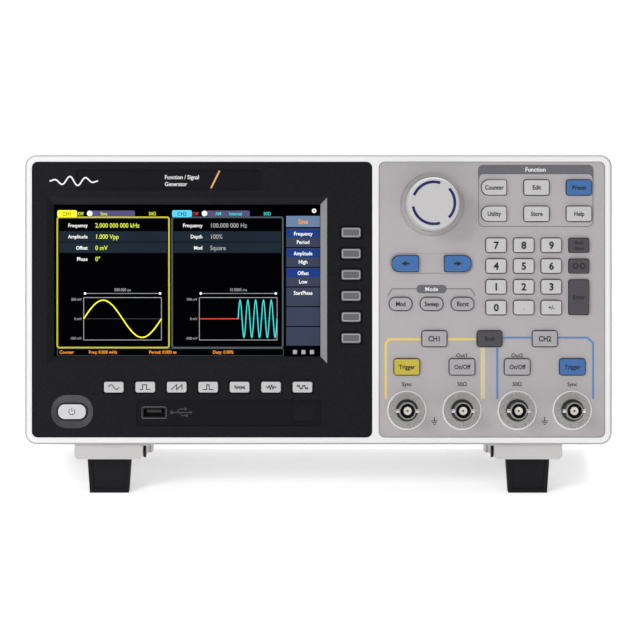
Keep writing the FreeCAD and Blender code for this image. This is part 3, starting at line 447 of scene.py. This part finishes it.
def key_icons():
    for node, way in (("arrow_left_key", -1), ("arrow_right_key", 1)):
        low, _ = local_box(node)
        x, z = centre_of(node)
        piece = key_piece(node, "legend", BLACK_INK)
        front = low[1] - INK
        piece.slab([(x - way * 0.6, z - 1.5), (x + way * 2.4, z), (x - way * 0.6, z + 1.5)][::way], front)
        piece.rect(x - 2.4 if way > 0 else x + 0.6, x - 0.6 if way > 0 else x + 2.4, z - 0.5, z + 0.5, front)
        piece.place()
    low, _ = local_box("back_key")
    x, z = centre_of("back_key")
    piece = key_piece("back_key", "legend", BLACK_INK)
    piece.text("Back", x, z + 1.6, 1.9, low[1] - INK, bold=0.04)
    piece.text("Space", x, z - 1.6, 1.9, low[1] - INK, bold=0.04, stretch=0.9)
    piece.place()
    x, z = centre_of("clear_key")
    piece = key_piece("clear_key", "legend", BLACK_INK)
    for offset in (-2, 2):
        piece.ring(x + offset, z, 1.75, 1.0, low[1] - INK, steps=28)
    piece.place()
    x, z = centre_of("enter_key")
    piece = key_piece("enter_key", "legend", BLACK_INK)
    piece.text("Enter", x, z, 2.3, low[1] - INK, bold=0.04)
    piece.place()


def power_mark():
    low, _ = local_box("power_key")
    x, z = centre_of("power_key")
    piece = key_piece("power_key", "legend", DARK_INK)
    piece.ribbon(arc(x, z, 1.75, 125, 415, 28), 0.45, low[1] - INK)
    piece.ribbon([(x, z + 0.2), (x, z + 2.4)], 0.45, low[1] - INK)
    piece.place()


def wave_points(kind, wide, tall):
    """The little waveform of each key, centred on the origin."""
    half, high = wide / 2, tall / 2
    if kind == "sine":
        return [(half * (step / 12 - 1), high * math.sin(math.pi * step / 12)) for step in range(25)]
    if kind == "square":
        return [(-half, -high), (-half * 0.5, -high), (-half * 0.5, high), (half * 0.25, high),
                (half * 0.25, -high), (half, -high)]
    if kind == "ramp":
        return [(-half, -high), (0, high), (0, -high), (half, high), (half, -high)]
    if kind == "pulse":
        return [(-half, -high), (-half * 0.25, -high), (-half * 0.25, high), (half * 0.2, high),
                (half * 0.2, -high), (half, -high)]
    if kind == "noise":
        return [(half * (step / 9 - 1), high * math.sin(step * 2.7) * (0.4 + 0.6 * math.sin(step * 1.3) ** 2))
                for step in range(19)]
    if kind == "arbitrary":
        return [(half * (step / 14 - 1), high * math.sin(step * 0.9) * math.exp(-((step - 14) / 9) ** 2))
                for step in range(29)]
    return [(half * (step / 12 - 1), high * (0.7 * math.sin(math.pi * step / 6)
                                             + 0.4 * math.sin(math.pi * step / 2))) for step in range(25)]


def wave_marks():
    for kind in ("sine", "square", "ramp", "pulse", "noise", "arbitrary", "harmonic"):
        node = f"{kind}_key"
        low, _ = local_box(node)
        x, z = centre_of(node)
        piece = key_piece(node, "legend", BLACK_INK)
        piece.ribbon([(x + u, z + v) for u, v in wave_points(kind, 6.2, 2.8)], 0.5, low[1] - INK)
        piece.place()


def soft_rims():
    for number in range(1, 7):
        node = f"soft_key_{number}"
        low, high = local_box(node)
        piece = key_piece(node, "rim", FINISH["key_grey"])
        inset = KEY_LIP + 0.75
        piece.frame(low[0] + inset, high[0] - inset, low[2] + inset, high[2] - inset, 0.55, low[1] - INK, 0.8)
        piece.place()


# ---- prints on the key field ----


def key_rims():
    """The dark line printed round each key of the key field."""
    piece = Piece("key_outlines", DARK_INK)
    for node in list(WORDS) + [f"digit_{digit}_key" for digit in range(10)] + ["arrow_left_key", "arrow_right_key"]:
        low, high = local_box(node)
        width, height = high[0] - low[0] - 2 * KEY_LIP, high[2] - low[2] - 2 * KEY_LIP
        corner = height * 0.47 if node in ("mod_key", "sweep_key", "burst_key") else 1.4
        if node in ("counter_key", "utility_key", "arrow_left_key", "arrow_right_key"):
            continue
        x, z = centre_of(node)
        grow = 0.42
        piece.frame(x - width / 2 - grow, x + width / 2 + grow, z - height / 2 - grow, z + height / 2 + grow,
                    0.4, PANEL_FRONT - INK, corner + grow)
    piece.place()


def function_group():
    edit_x, edit_z = centre_of("edit_key")
    _, help_z = centre_of("help_key")
    left, right = edit_x - 33.8, edit_x + 33.1
    top, low = edit_z + 13.2, help_z - 7.3
    band_low = top - 5.5
    front = PANEL_FRONT - INK
    band = Piece("function_band", BAND_INK)
    band.slab([(left, band_low - 3.2), (left + 0.7, band_low - 3.2)] + arc(left + 3.2, band_low - 2.5, 2.5, 180, 90, 6)
              + arc(right - 3.2, band_low - 2.5, 2.5, 90, 0, 6) + [(right - 0.7, band_low - 3.2), (right, band_low - 3.2)]
              + arc(right - 3, top - 3, 3, 0, 90, 6) + arc(left + 3, top - 3, 3, 90, 180, 6), front)
    band.place()
    line = Piece("function_outline", LINE_INK)
    line.ribbon([(left + 0.35, band_low - 3.2)] + arc(left + 3.4, low + 3, 3, 180, 270, 6)
                + arc(right - 3.4, low + 3, 3, 270, 360, 6) + [(right - 0.35, band_low - 3.2)], 0.55, front)
    line.place()
    words = Piece("function_words", WHITE_INK)
    words.text("Function", edit_x - 0.5, top - 2.75, 2.4, front - INK, bold=0.03)
    words.place()


def mode_group():
    x, z = centre_of("sweep_key")
    front = PANEL_FRONT - INK
    bar = z + 8.6
    pill = Piece("mode_pill", BAND_INK)
    pill.rect(x - 8.7, x + 8.7, bar - 2.45, bar + 2.45, front, corner=2.3)
    pill.place()
    bracket = Piece("mode_bracket", LINE_INK)
    for way in (-1, 1):
        bracket.ribbon([(x + way * 8.7, bar + 0.2), (x + way * 22.7, bar + 0.2), (x + way * 25.3, bar - 3.7)], 0.8, front)
    bracket.place()
    words = Piece("mode_words", WHITE_INK)
    words.text("Mode", x, bar, 2.3, front - INK, bold=0.03)
    words.place()


def channel_lines():
    front = PANEL_FRONT - INK
    one_x, z = centre_of("channel_1_key")
    both_x, _ = centre_of("both_key")
    foot = JACK_Z + 6.6
    left, middle = one_x - 28.1, both_x - 3.9
    yellow = Piece("channel_1_line", YELLOW_INK)
    yellow.ribbon([(left, foot), (left, z - 2.5), (left + 2.2, z - 0.3), (one_x - 7.8, z - 0.3)], 1.3, front)
    yellow.ribbon([(one_x + 7.8, z - 0.3), (both_x - 8, z - 0.3)], 1.3, front)
    yellow.place()
    pale = Piece("channel_1_edge", PALE_YELLOW)
    pale.ribbon([(middle, foot), (middle, z - 5.2)], 2.6, front)
    pale.place()
    two_x, _ = centre_of("channel_2_key")
    start, end = both_x + 4.5, two_x + 28
    blue = Piece("channel_2_line", BLUE_INK)
    blue.ribbon([(start, foot), (start, z - 5.2)], 1.3, front)
    blue.ribbon([(both_x + 8, z + 0.6), (two_x - 7.8, z + 0.6)], 1.2, front)
    blue.ribbon([(two_x + 7.8, z + 0.6), (end - 3.4, z + 0.6), (end, z - 2.4), (end, foot)], 1.2, front)
    blue.place()


def jack_words():
    front = PANEL_FRONT - INK
    words = Piece("jack_words", BLACK_INK)
    _, gate_z = centre_of("output_1_key")
    for x, name in zip(JACK_XS, ("Sync", "50Ω", "50Ω", "Sync")):
        words.text(name, x, JACK_Z + 15.1, 2.2, front, bold=0.03)
    for x, name in zip(JACK_XS[1:3], ("Out1", "Out2")):
        words.text(name, x, gate_z + 6.7, 2.2, front, bold=0.03)
    for mid in ((JACK_XS[0] + JACK_XS[1]) / 2, (JACK_XS[2] + JACK_XS[3]) / 2):
        z = JACK_Z - 7
        words.ribbon([(mid, z + 3.2), (mid, z + 0.8)], 0.5, front)
        for step, half in enumerate((2.0, 1.3, 0.6)):
            words.ribbon([(mid - half, z + 0.8 - step), (mid + half, z + 0.8 - step)], 0.45, front)
    words.place()


# ---- jacks ----


def jacks():
    seat_front = PANEL_FRONT - 1.0
    rims = Piece("jack_seat_rims", SEAT_RIM_HIGHLIGHT, slot="fascia_plastic")
    dark = Piece("jack_rings", JACK_GAP_SHADE, slot="socket_plastic")
    cream = Piece("jack_insulators", CREAM, slot="socket_plastic")
    gold = Piece("jack_pins", GOLD, slot="jack_metal")
    flats = Piece("jack_nuts", FINISH["jack_metal"], slot="jack_metal")
    tip = JACKS_LOW[1]
    for x in JACK_XS:
        z = JACK_Z
        # Painted highlight: a pale ring on the rim of each jack seat.
        rims.lathe([(10.35, PANEL_FRONT - 0.02), (10.4, PANEL_FRONT - 0.7), (10.8, PANEL_FRONT - 0.9),
                    (11.3, PANEL_FRONT - 0.6), (11.5, PANEL_FRONT - 0.02), (10.35, PANEL_FRONT - 0.02)], x, z)
        # Painted shade: near-black shells stand for the shaded gap round the barrel and the dark bore.
        dark.lathe([(6.42, seat_front - 0.02), (6.42, seat_front - 1.75), (4.9, seat_front - 1.75),
                    (4.9, seat_front - 1.62), (6.41, seat_front - 1.62), (6.41, seat_front - 0.02),
                    (6.42, seat_front - 0.02)], x, z)
        dark.lathe([(4.3, tip + 0.02), (4.3, tip - 0.0), (4.05, tip), (4.04, tip + 9.5), (2.32, tip + 9.5),
                    (2.32, tip + 9.6), (4.049, tip + 9.6), (4.3, tip + 0.02)], x, z)
        cream.lathe([(0.72, tip + 1.9), (2.34, tip + 1.9), (2.34, tip + 5.5), (2.31, tip + 5.5), (2.31, tip + 1.98),
                     (0.72, tip + 1.98), (0.72, tip + 1.9)], x, z, steps=32)
        gold.lathe([(0.45, tip + 1.8), (0.72, tip + 1.8), (0.72, tip + 5), (0.45, tip + 5), (0.45, tip + 1.8)], x, z,
                   steps=20)
        flats.lathe([(8.6, seat_front - 0.01), (8.6, seat_front - 0.28), (9.2, seat_front - 0.28),
                     (9.2, seat_front - 0.01), (8.6, seat_front - 0.01)], x, z)
    for piece in (rims, dark, cream, gold, flats):
        piece.place(smooth=True)


# ---- knob ----


def knob_marks():
    low, high = local_box("knob")
    x, z = centre_of("knob")
    front = low[1]
    arcs = Piece("knob_arcs", ARC_INK, body_name("knob"), "key_blue")
    for start in (72, -44, 190):
        arcs.ribbon(arc(x, z, 12, start, start + 87 + (10 if start == 190 else 0), 22), 1.6, front - INK)
    arcs.place()
    face = Piece("knob_face", FINISH["knob_plastic"], body_name("knob"), "knob_plastic")
    face.ring(x, z, 13.75, 13.45, front - 0.02)
    face.ring(x, z, 10.5, 10.2, front - 0.02)
    face.place(smooth=True)


# ---- display bezel ----


def bezel_marks():
    front = BEZEL_LOW[1]
    index_lines = Piece("soft_key_lines", DARK_LINES_AND_RECESS_SHADE, slot="bezel_plastic")
    for number in range(1, 7):
        low, _ = local_box(f"soft_key_{number}")
        _, z = centre_of(f"soft_key_{number}")
        index_lines.ribbon([(SCREEN_RIGHT + BEVEL + 0.3, z), (low[0] + KEY_LIP - 1.2, z)], 0.35, front - INK)
    index_lines.place()
    recess = front + 0.6
    mark = Piece("wave_mark", WHITE_INK, slot="bezel_plastic")
    start = SCREEN_LEFT - 2.2
    mark.ribbon([(start + 28 * step / 60, 152.6 + 2.7 * math.sin(math.tau * step / 20) * math.sin(math.pi * step / 60))
                 for step in range(61)], 0.85, front - INK)
    mark.place()
    words = Piece("name_words", WHITE_INK, slot="bezel_plastic")
    words.text("Function / Signal", -89, 154.9, 2.3, recess - 3 * INK, bold=0.02, align="LEFT", stretch=0.92)
    words.text("Generator", -89, 150.9, 2.3, recess - 3 * INK, bold=0.02, align="LEFT", stretch=0.92)
    words.place()
    accent = Piece("accent_line", ORANGE_INK, slot="bezel_plastic")
    accent.ribbon([(-62.2, 148.4), (-57.2, 158.6)], 0.9, recess - 3 * INK)
    accent.place()


def bezel_depths():
    """Painted light and shade in the recesses: a painted highlight on the right bevel, painted shade on the floors of
    the strip and the name recess, and a painted highlight on the dish of the power key.
    """
    front = BEZEL_LOW[1]
    # Painted highlight: a lighter sheet on the right bevel stands for the light it catches.
    lit = Piece("bevel_right", BEVEL_LIT, slot="bezel_plastic")
    out, deep, skin = BEVEL, 3.0, 0.04
    corners = [(SCREEN_RIGHT + out, front, SCREEN_LOW - out), (SCREEN_RIGHT + out, front, SCREEN_HIGH + out),
               (SCREEN_RIGHT, front + deep, SCREEN_HIGH), (SCREEN_RIGHT, front + deep, SCREEN_LOW)]
    near = [lit.mesh.verts.new((x - skin, y - skin, z)) for x, y, z in corners]
    far = [lit.mesh.verts.new((x - skin / 4, y - skin / 4, z)) for x, y, z in corners]
    lit.mesh.faces.new(near)
    lit.mesh.faces.new(far[::-1])
    for index in range(4):
        after = (index + 1) % 4
        lit.mesh.faces.new((near[after], near[index], far[index], far[after]))
    lit.place()
    floor_depth = front + 0.6 - INK
    # Painted shade: near-black sheets line the floors of the strip and name recesses.
    strip = Piece("strip_floor", DARK_LINES_AND_RECESS_SHADE, slot="bezel_plastic")
    port_low, port_high, port_left, port_right = 15.0, 22.2, -102.4, -87.8
    strip.rect(-105.1, port_left, 10.9, 26.0, floor_depth, 0.02)
    strip.rect(port_left, port_right, 10.9, port_low, floor_depth, 0.02)
    strip.rect(port_left, port_right, port_high, 26.0, floor_depth, 0.02)
    strip.rect(port_right, -15.5, 10.9, 26.0, floor_depth, 0.02)
    strip.rect(-15.5, -1.8, 10.9, 13.1, floor_depth, 0.02)
    strip.rect(-15.5, -1.8, 23.4, 26.0, floor_depth, 0.02)
    strip.rect(-1.8, 1.4, 10.9, 26.0, floor_depth, 0.02)
    strip.place()
    name = Piece("name_floor", DARK_LINES_AND_RECESS_SHADE, slot="bezel_plastic")
    name.rect(-139.8, -33.2, 147.4, 159.0, floor_depth, 0.02, corner=1)
    name.place()
    x, z = centre_of("power_key")
    # Painted highlight: a lighter sloped ring stands for the light on the power key's dish.
    dish = Piece("power_dish", DISH_HIGHLIGHT_AND_SYMBOL, slot="bezel_plastic")
    dish.slope(rounded(x - 12.1, x + 12.1, z - 9.6, z + 9.6, 9, 8), front + 0.05,
               rounded(x - 9.0, x + 9.0, z - 5.2, z + 5.2, 4.9, 8), front + 0.7)
    dish.place(smooth=True)


def port_marks():
    front = BEZEL_LOW[1] + 0.6
    x, z = -79.3, 18.7
    plate = Piece("port_symbol", DISH_HIGHLIGHT_AND_SYMBOL, slot="bezel_plastic")
    plate.ribbon([(x - 5.5, z), (x + 5, z)], 0.7, front - 0.15, thick=0.2)
    plate.disc(x - 5.5, z, 1.1, front - 0.15, 0.2, 20)
    plate.slab([(x + 5, z - 1), (x + 6.6, z), (x + 5, z + 1)], front - 0.15, 0.2)
    plate.ribbon([(x - 3, z), (x - 1, z + 2), (x + 2, z + 2)], 0.6, front - 0.15, thick=0.2)
    plate.ribbon([(x - 1, z), (x + 0.6, z - 1.8), (x + 2.8, z - 1.8)], 0.6, front - 0.15, thick=0.2)
    plate.disc(x + 2.2, z + 2, 0.8, front - 0.15, 0.2, 16)
    plate.rect(x + 2.4, x + 3.8, z - 2.5, z - 1.1, front - 0.15, 0.2)
    plate.place()
    ports_low, _ = local_box("sockets")
    shell = Piece("port_shell", FINISH["jack_metal"], slot="jack_metal")
    shell.frame(-95.1 - 6.9, -95.1 + 6.9, 18.6 - 3.2, 18.6 + 3.2, 0.5, ports_low[1] - 0.0, 0.4)
    shell.place()


# ---- the lit screen ----


class Screen:
    """Draws on the glass in mm from the screen's top left corner, each colour its own piece."""

    def __init__(self):
        self.front = GLASS_LOW[1]
        self.pieces = {}

    def pen(self, color, level):
        key = (color, level)
        if key not in self.pieces:
            self.pieces[key] = Piece(f"screen_{color}_{level}", SCREEN[color], slot="screen_glass")
        return self.pieces[key], self.front - 0.06 - 0.05 * level

    def rect(self, color, u0, u1, v0, v1, level=1, corner=0.0):
        piece, front = self.pen(color, level)
        piece.rect(SCREEN_LEFT + u0, SCREEN_LEFT + u1, SCREEN_HIGH - v1, SCREEN_HIGH - v0, front, 0.03, corner, 3)

    def line(self, color, points, width, level=2):
        piece, front = self.pen(color, level)
        piece.ribbon([(SCREEN_LEFT + u, SCREEN_HIGH - v) for u, v in points], width, front, thick=0.03)

    def outline(self, color, u0, u1, v0, v1, width, level=2, corner=1.2):
        piece, front = self.pen(color, level)
        piece.frame(SCREEN_LEFT + u0, SCREEN_LEFT + u1, SCREEN_HIGH - v1, SCREEN_HIGH - v0, width, front, corner)

    def words(self, color, text, u, v, height, align="LEFT", bold=0.01, stretch=0.9, level=3):
        piece, front = self.pen(color, level)
        piece.text(text, SCREEN_LEFT + u, SCREEN_HIGH - v, height, front - 0.03, bold, align, stretch)

    def place(self):
        for piece in self.pieces.values():
            piece.place()


def channel_panel(screen, left, right, edge, tab, tab_words, states, rows, ink):
    """A channel's tab, frame and rows of settings."""
    top, foot = 7.4, 83.0
    screen.rect(tab, left, left + 11.5, 3.3, top, 2, 1.0)
    screen.words("black", tab_words, left + 5.7, 5.4, 2.2, "CENTER", bold=0.015)
    screen.rect("violet", left + 20, left + 45, 3.5, 6.9, 1, 0.8)
    for color, text, place in states:
        screen.words(color, text, left + place, 5.3, 1.9, bold=0.012)
    screen.rect("white", left + 17.2, left + 20.4, 3.6, 6.8, 2, 1.5)
    screen.outline(edge, left, right, top, foot, 0.9)
    for index, (name, reading) in enumerate(rows):
        middle = 12.1 + 6.5 * index
        if 0 < index < 3:
            screen.rect("row", left + 1, right - 1, middle - 3.1, middle + 3.0)
        screen.words("white", name, left + 17.6, middle, 2.1, "RIGHT", bold=0.01)
        screen.words(ink, reading, left + 22, middle, 2.6, "LEFT", bold=0.008)


def plot(screen, left, right, marks, span, top=54.0, foot=78.6):
    screen.outline("grey", left, right, top, foot, 0.35, 1, 0.2)
    for index, mark in enumerate(marks):
        screen.words("grey", mark, left - 1.2, top + 1 + index * (foot - top - 2) / 2, 1.5, "RIGHT", bold=0.005)
    screen.line("grey", [(left + 0.8, top - 2.4), (right - 0.8, top - 2.4)], 0.3, 1)
    for place in (left + 0.8, right - 0.8):
        screen.rect("white", place - 0.7, place + 0.7, top - 3.1, top - 1.7, 2, 0.65)
    screen.words("grey", span, (left + right) / 2, top - 4.6, 1.7, "CENTER", bold=0.005)
    screen.line("dim", [(left, (top + foot) / 2), (right, (top + foot) / 2)], 0.2, 1)


def menu(screen):
    left, right = 134.6, 154.2
    screen.rect("slate", left, right, 6.6, 13.0)
    screen.words("orange", "Sine", (left + right) / 2, 9.9, 2.7, "CENTER", bold=0.012)
    entries = (("Frequency", "Period"), ("Amplitude", "High"), ("Offset", "Low"), ("StartPhase", ""), ("", ""),
               ("", ""))
    top = 13.5
    step = 11.45
    for index, (upper, lower) in enumerate(entries):
        low = top + index * step
        screen.rect("menu", left, right, low + 0.3, low + step - 0.3)
        if upper:
            if lower:
                screen.rect("navy", left + 0.4, right - 0.4, low + 0.8, low + 5.6, 2)
            screen.words("white", upper, (left + right) / 2, low + 3.4, 2.2, "CENTER", bold=0.012, stretch=0.82)
        if lower:
            screen.words("white", lower, (left + right) / 2, low + 8.3, 2.2, "CENTER", bold=0.012)


def lit_screen():
    screen = Screen()
    screen.rect("black", 0.05, SCREEN_RIGHT - SCREEN_LEFT - 0.05, 0.05, SCREEN_HIGH - SCREEN_LOW - 0.05, 0)
    channel_panel(screen, 1.8, 66.6, "olive", "yellow", "CH1",
                  (("lime", "Off", 11.9), ("lime", "Sine", 25), ("lime", "50Ω", 53)),
                  (("Frequency", "2.000 000 000 kHz"), ("Amplitude", "1.000 Vpp"), ("Offset", "0 mV"),
                   ("Phase", "0°")), "lime")
    channel_panel(screen, 68.4, 132.6, "dim", "cyan", "CH2",
                  (("red", "Off", 11.9), ("teal", "AM", 25), ("teal", "Internal", 33), ("teal", "50Ω", 53)),
                  (("Frequency", "100.000 000 Hz"), ("Depth", "100%"), ("Mod", "Square")), "grey")
    marks = ("500 mV", "0 mV", "-500 mV")
    plot(screen, 17.1, 62.2, marks, "500.000 µs")
    plot(screen, 84.2, 129.3, marks, "10.0000 ms")
    middle, swing = 66.3, 10.8
    screen.line("yellow", [(17.1 + 45.1 * step / 60, middle - swing * math.sin(math.tau * step / 60))
                           for step in range(61)], 0.7, 2)
    screen.line("red", [(84.2, middle), (106.7, middle)], 0.6, 2)
    screen.line("teal", [(106.7 + 22.6 * step / 120, middle - swing * math.sin(math.tau * step / 24))
                         for step in range(121)], 0.55, 2)
    screen.outline("dim", 1.8, 133.0, 83.6, 87.7, 0.3, 1, 0.4)
    for place, text in ((3, "Counter"), (20, "Freq: 0.000 mHz"), (55, "Period: 0.000 ns"), (92, "Duty: 0.00%")):
        screen.words("orange", text, place, 85.6, 1.9, bold=0.012)
    menu(screen)
    for place in (139.7, 144.6, 149.5):
        screen.rect("grey", place - 1.2, place + 1.2, 84.4, 86.8, 2, 0.4)
    screen.rect("white", 149.5, 152.1, 2.4, 4.9, 2, 1.2)
    screen.rect("black", 150.3, 151.3, 3.2, 4.1, 3, 0.4)
    screen.place()


# ---- rear ----


def rear_details():
    """Screw heads, plated sleeves and socket names on the back."""
    back = COVER_HIGH[1]
    sleeves = Piece("rear_jack_sleeves", FINISH["jack_metal"], slot="jack_metal")
    names = Piece("rear_words", BLACK_INK, slot="cover_plastic")
    for index, words in enumerate(("Ref Out", "Ref In", "Mod In")):
        x = -128 + 26 * index
        sleeves.lathe([(4.9, back + 2.7), (4.9, back + 11.9), (4.1, back + 11.9), (4.1, back + 11.8),
                       (4.86, back + 11.8), (4.86, back + 2.7), (4.9, back + 2.7)], x, 32)
        sleeves.lathe([(8.05, back + 0.05), (8.05, back + 0.9), (6.45, back + 1.1), (6.45, back + 1.02),
                       (8.02, back + 0.8), (8.02, back + 0.05), (8.05, back + 0.05)], x, 32, steps=6)
        names.text(words, x, 44, 2.6, back + INK, bold=0.02, rear=True)
    for x, words in ((-12, "LAN"), (-44, "USB")):
        names.text(words, x, 44, 2.6, back + INK, bold=0.02, rear=True)
    names.text("AC 100-240 V  50/60 Hz", 118, 66, 2.6, back + INK, bold=0.02, rear=True)
    names.place()
    sleeves.place(smooth=True)
    network = Piece("rear_port_shells", FINISH["jack_metal"], slot="jack_metal")
    network.frame(-12 - 7.75, -12 + 7.75, 32 - 6.5, 32 + 6.5, 0.55, back + 0.38, 0.3)
    network.frame(-44 - 5.75, -44 + 5.75, 32 - 5.25, 32 + 5.25, 0.55, back + 0.38, 0.3)
    network.place()
    screws = Piece("rear_screws", FINISH["jack_metal"], slot="jack_metal")
    for x in (-155, 155):
        for z in (14, 152):
            screws.lathe([(0, back - 0.35), (1.2, back - 0.35), (1.3, back + 0.9), (2.6, back + 0.6),
                          (3.1, back - 0.05), (0, back - 0.05)][::-1], x, z, steps=28)
    screws.place(smooth=True)


finish_nodes()
key_words()
key_icons()
power_mark()
wave_marks()
soft_rims()
key_rims()
function_group()
mode_group()
channel_lines()
jack_words()
jacks()
knob_marks()
bezel_marks()
bezel_depths()
port_marks()
lit_screen()
rear_details()

# ---- floor, light and camera ----


def floor():
    made = bmesh.new()
    reach = 6.0
    back = 3.0
    profile = [(-reach, 0.0), (back, 0.0)]
    profile += [(back + 1.5 * math.sin(turn), 1.5 - 1.5 * math.cos(turn))
                for turn in [math.pi / 2 * step / 12 for step in range(1, 13)]]
    profile.append((back + 1.5, 6.0))
    rows = [[made.verts.new((side * reach, y, z)) for side in (-1, 1)] for y, z in profile]
    for one, two in zip(rows, rows[1:]):
        made.faces.new((one[0], one[1], two[1], two[0]))
    data = bpy.data.meshes.new("floor")
    made.to_mesh(data)
    made.free()
    for face in data.polygons:
        face.use_smooth = True
    data.materials.append(material("floor_paper", (0.95, 0.95, 0.95), rough=0.9, grain=1, vary=0.004, bump=0,
                                   glow=0.45))
    thing = bpy.data.objects.new("floor", data)
    bpy.context.scene.collection.objects.link(thing)


def area_light(name, place, target, size, power, color=(1, 1, 1)):
    light = bpy.data.lights.new(name, "AREA")
    light.shape = "RECTANGLE"
    light.size, light.size_y = size
    light.energy = power
    light.color = color
    thing = bpy.data.objects.new(name, light)
    bpy.context.scene.collection.objects.link(thing)
    thing.location = place
    thing.rotation_euler = (Vector(target) - Vector(place)).to_track_quat("-Z", "Y").to_euler()


def studio():
    world = bpy.data.worlds.new("studio")
    bpy.context.scene.world = world
    world.use_nodes = True
    background = world.node_tree.nodes["Background"]
    background.inputs["Color"].default_value = (1, 1, 1, 1)
    background.inputs["Strength"].default_value = 0.39
    area_light("key", (-1.1, -1.0, 1.1), (-0.05, 0, 0.1), (0.7, 0.7), 11.7)
    area_light("top", (0.0, 0.6, 1.9), (0, 0.4, 0.0), (2.4, 1.6), 20)
    area_light("backdrop", (0.0, 1.2, 2.2), (0, 2.4, 0.0), (3.0, 1.5), 60)
    area_light("fill", (1.5, -1.4, 0.6), (0, 0, 0.1), (1.2, 1.2), 2.4)
    bpy.context.scene.view_settings.view_transform = "Standard"


def camera():
    lens = bpy.data.cameras.new("camera")
    lens.sensor_width = 36
    lens.lens = 120
    thing = bpy.data.objects.new("camera", lens)
    bpy.context.scene.collection.objects.link(thing)
    photo_width = 370.0
    reach = photo_width * lens.lens / lens.sensor_width
    aim = LOCAL @ Vector((0.9, 0, 72.2))
    eye = LOCAL @ Vector((0.9, -reach, 72.2))
    thing.location = eye
    thing.rotation_euler = (aim - eye).to_track_quat("-Z", "Y").to_euler()
    bpy.context.scene.camera = thing


floor()
studio()
camera()
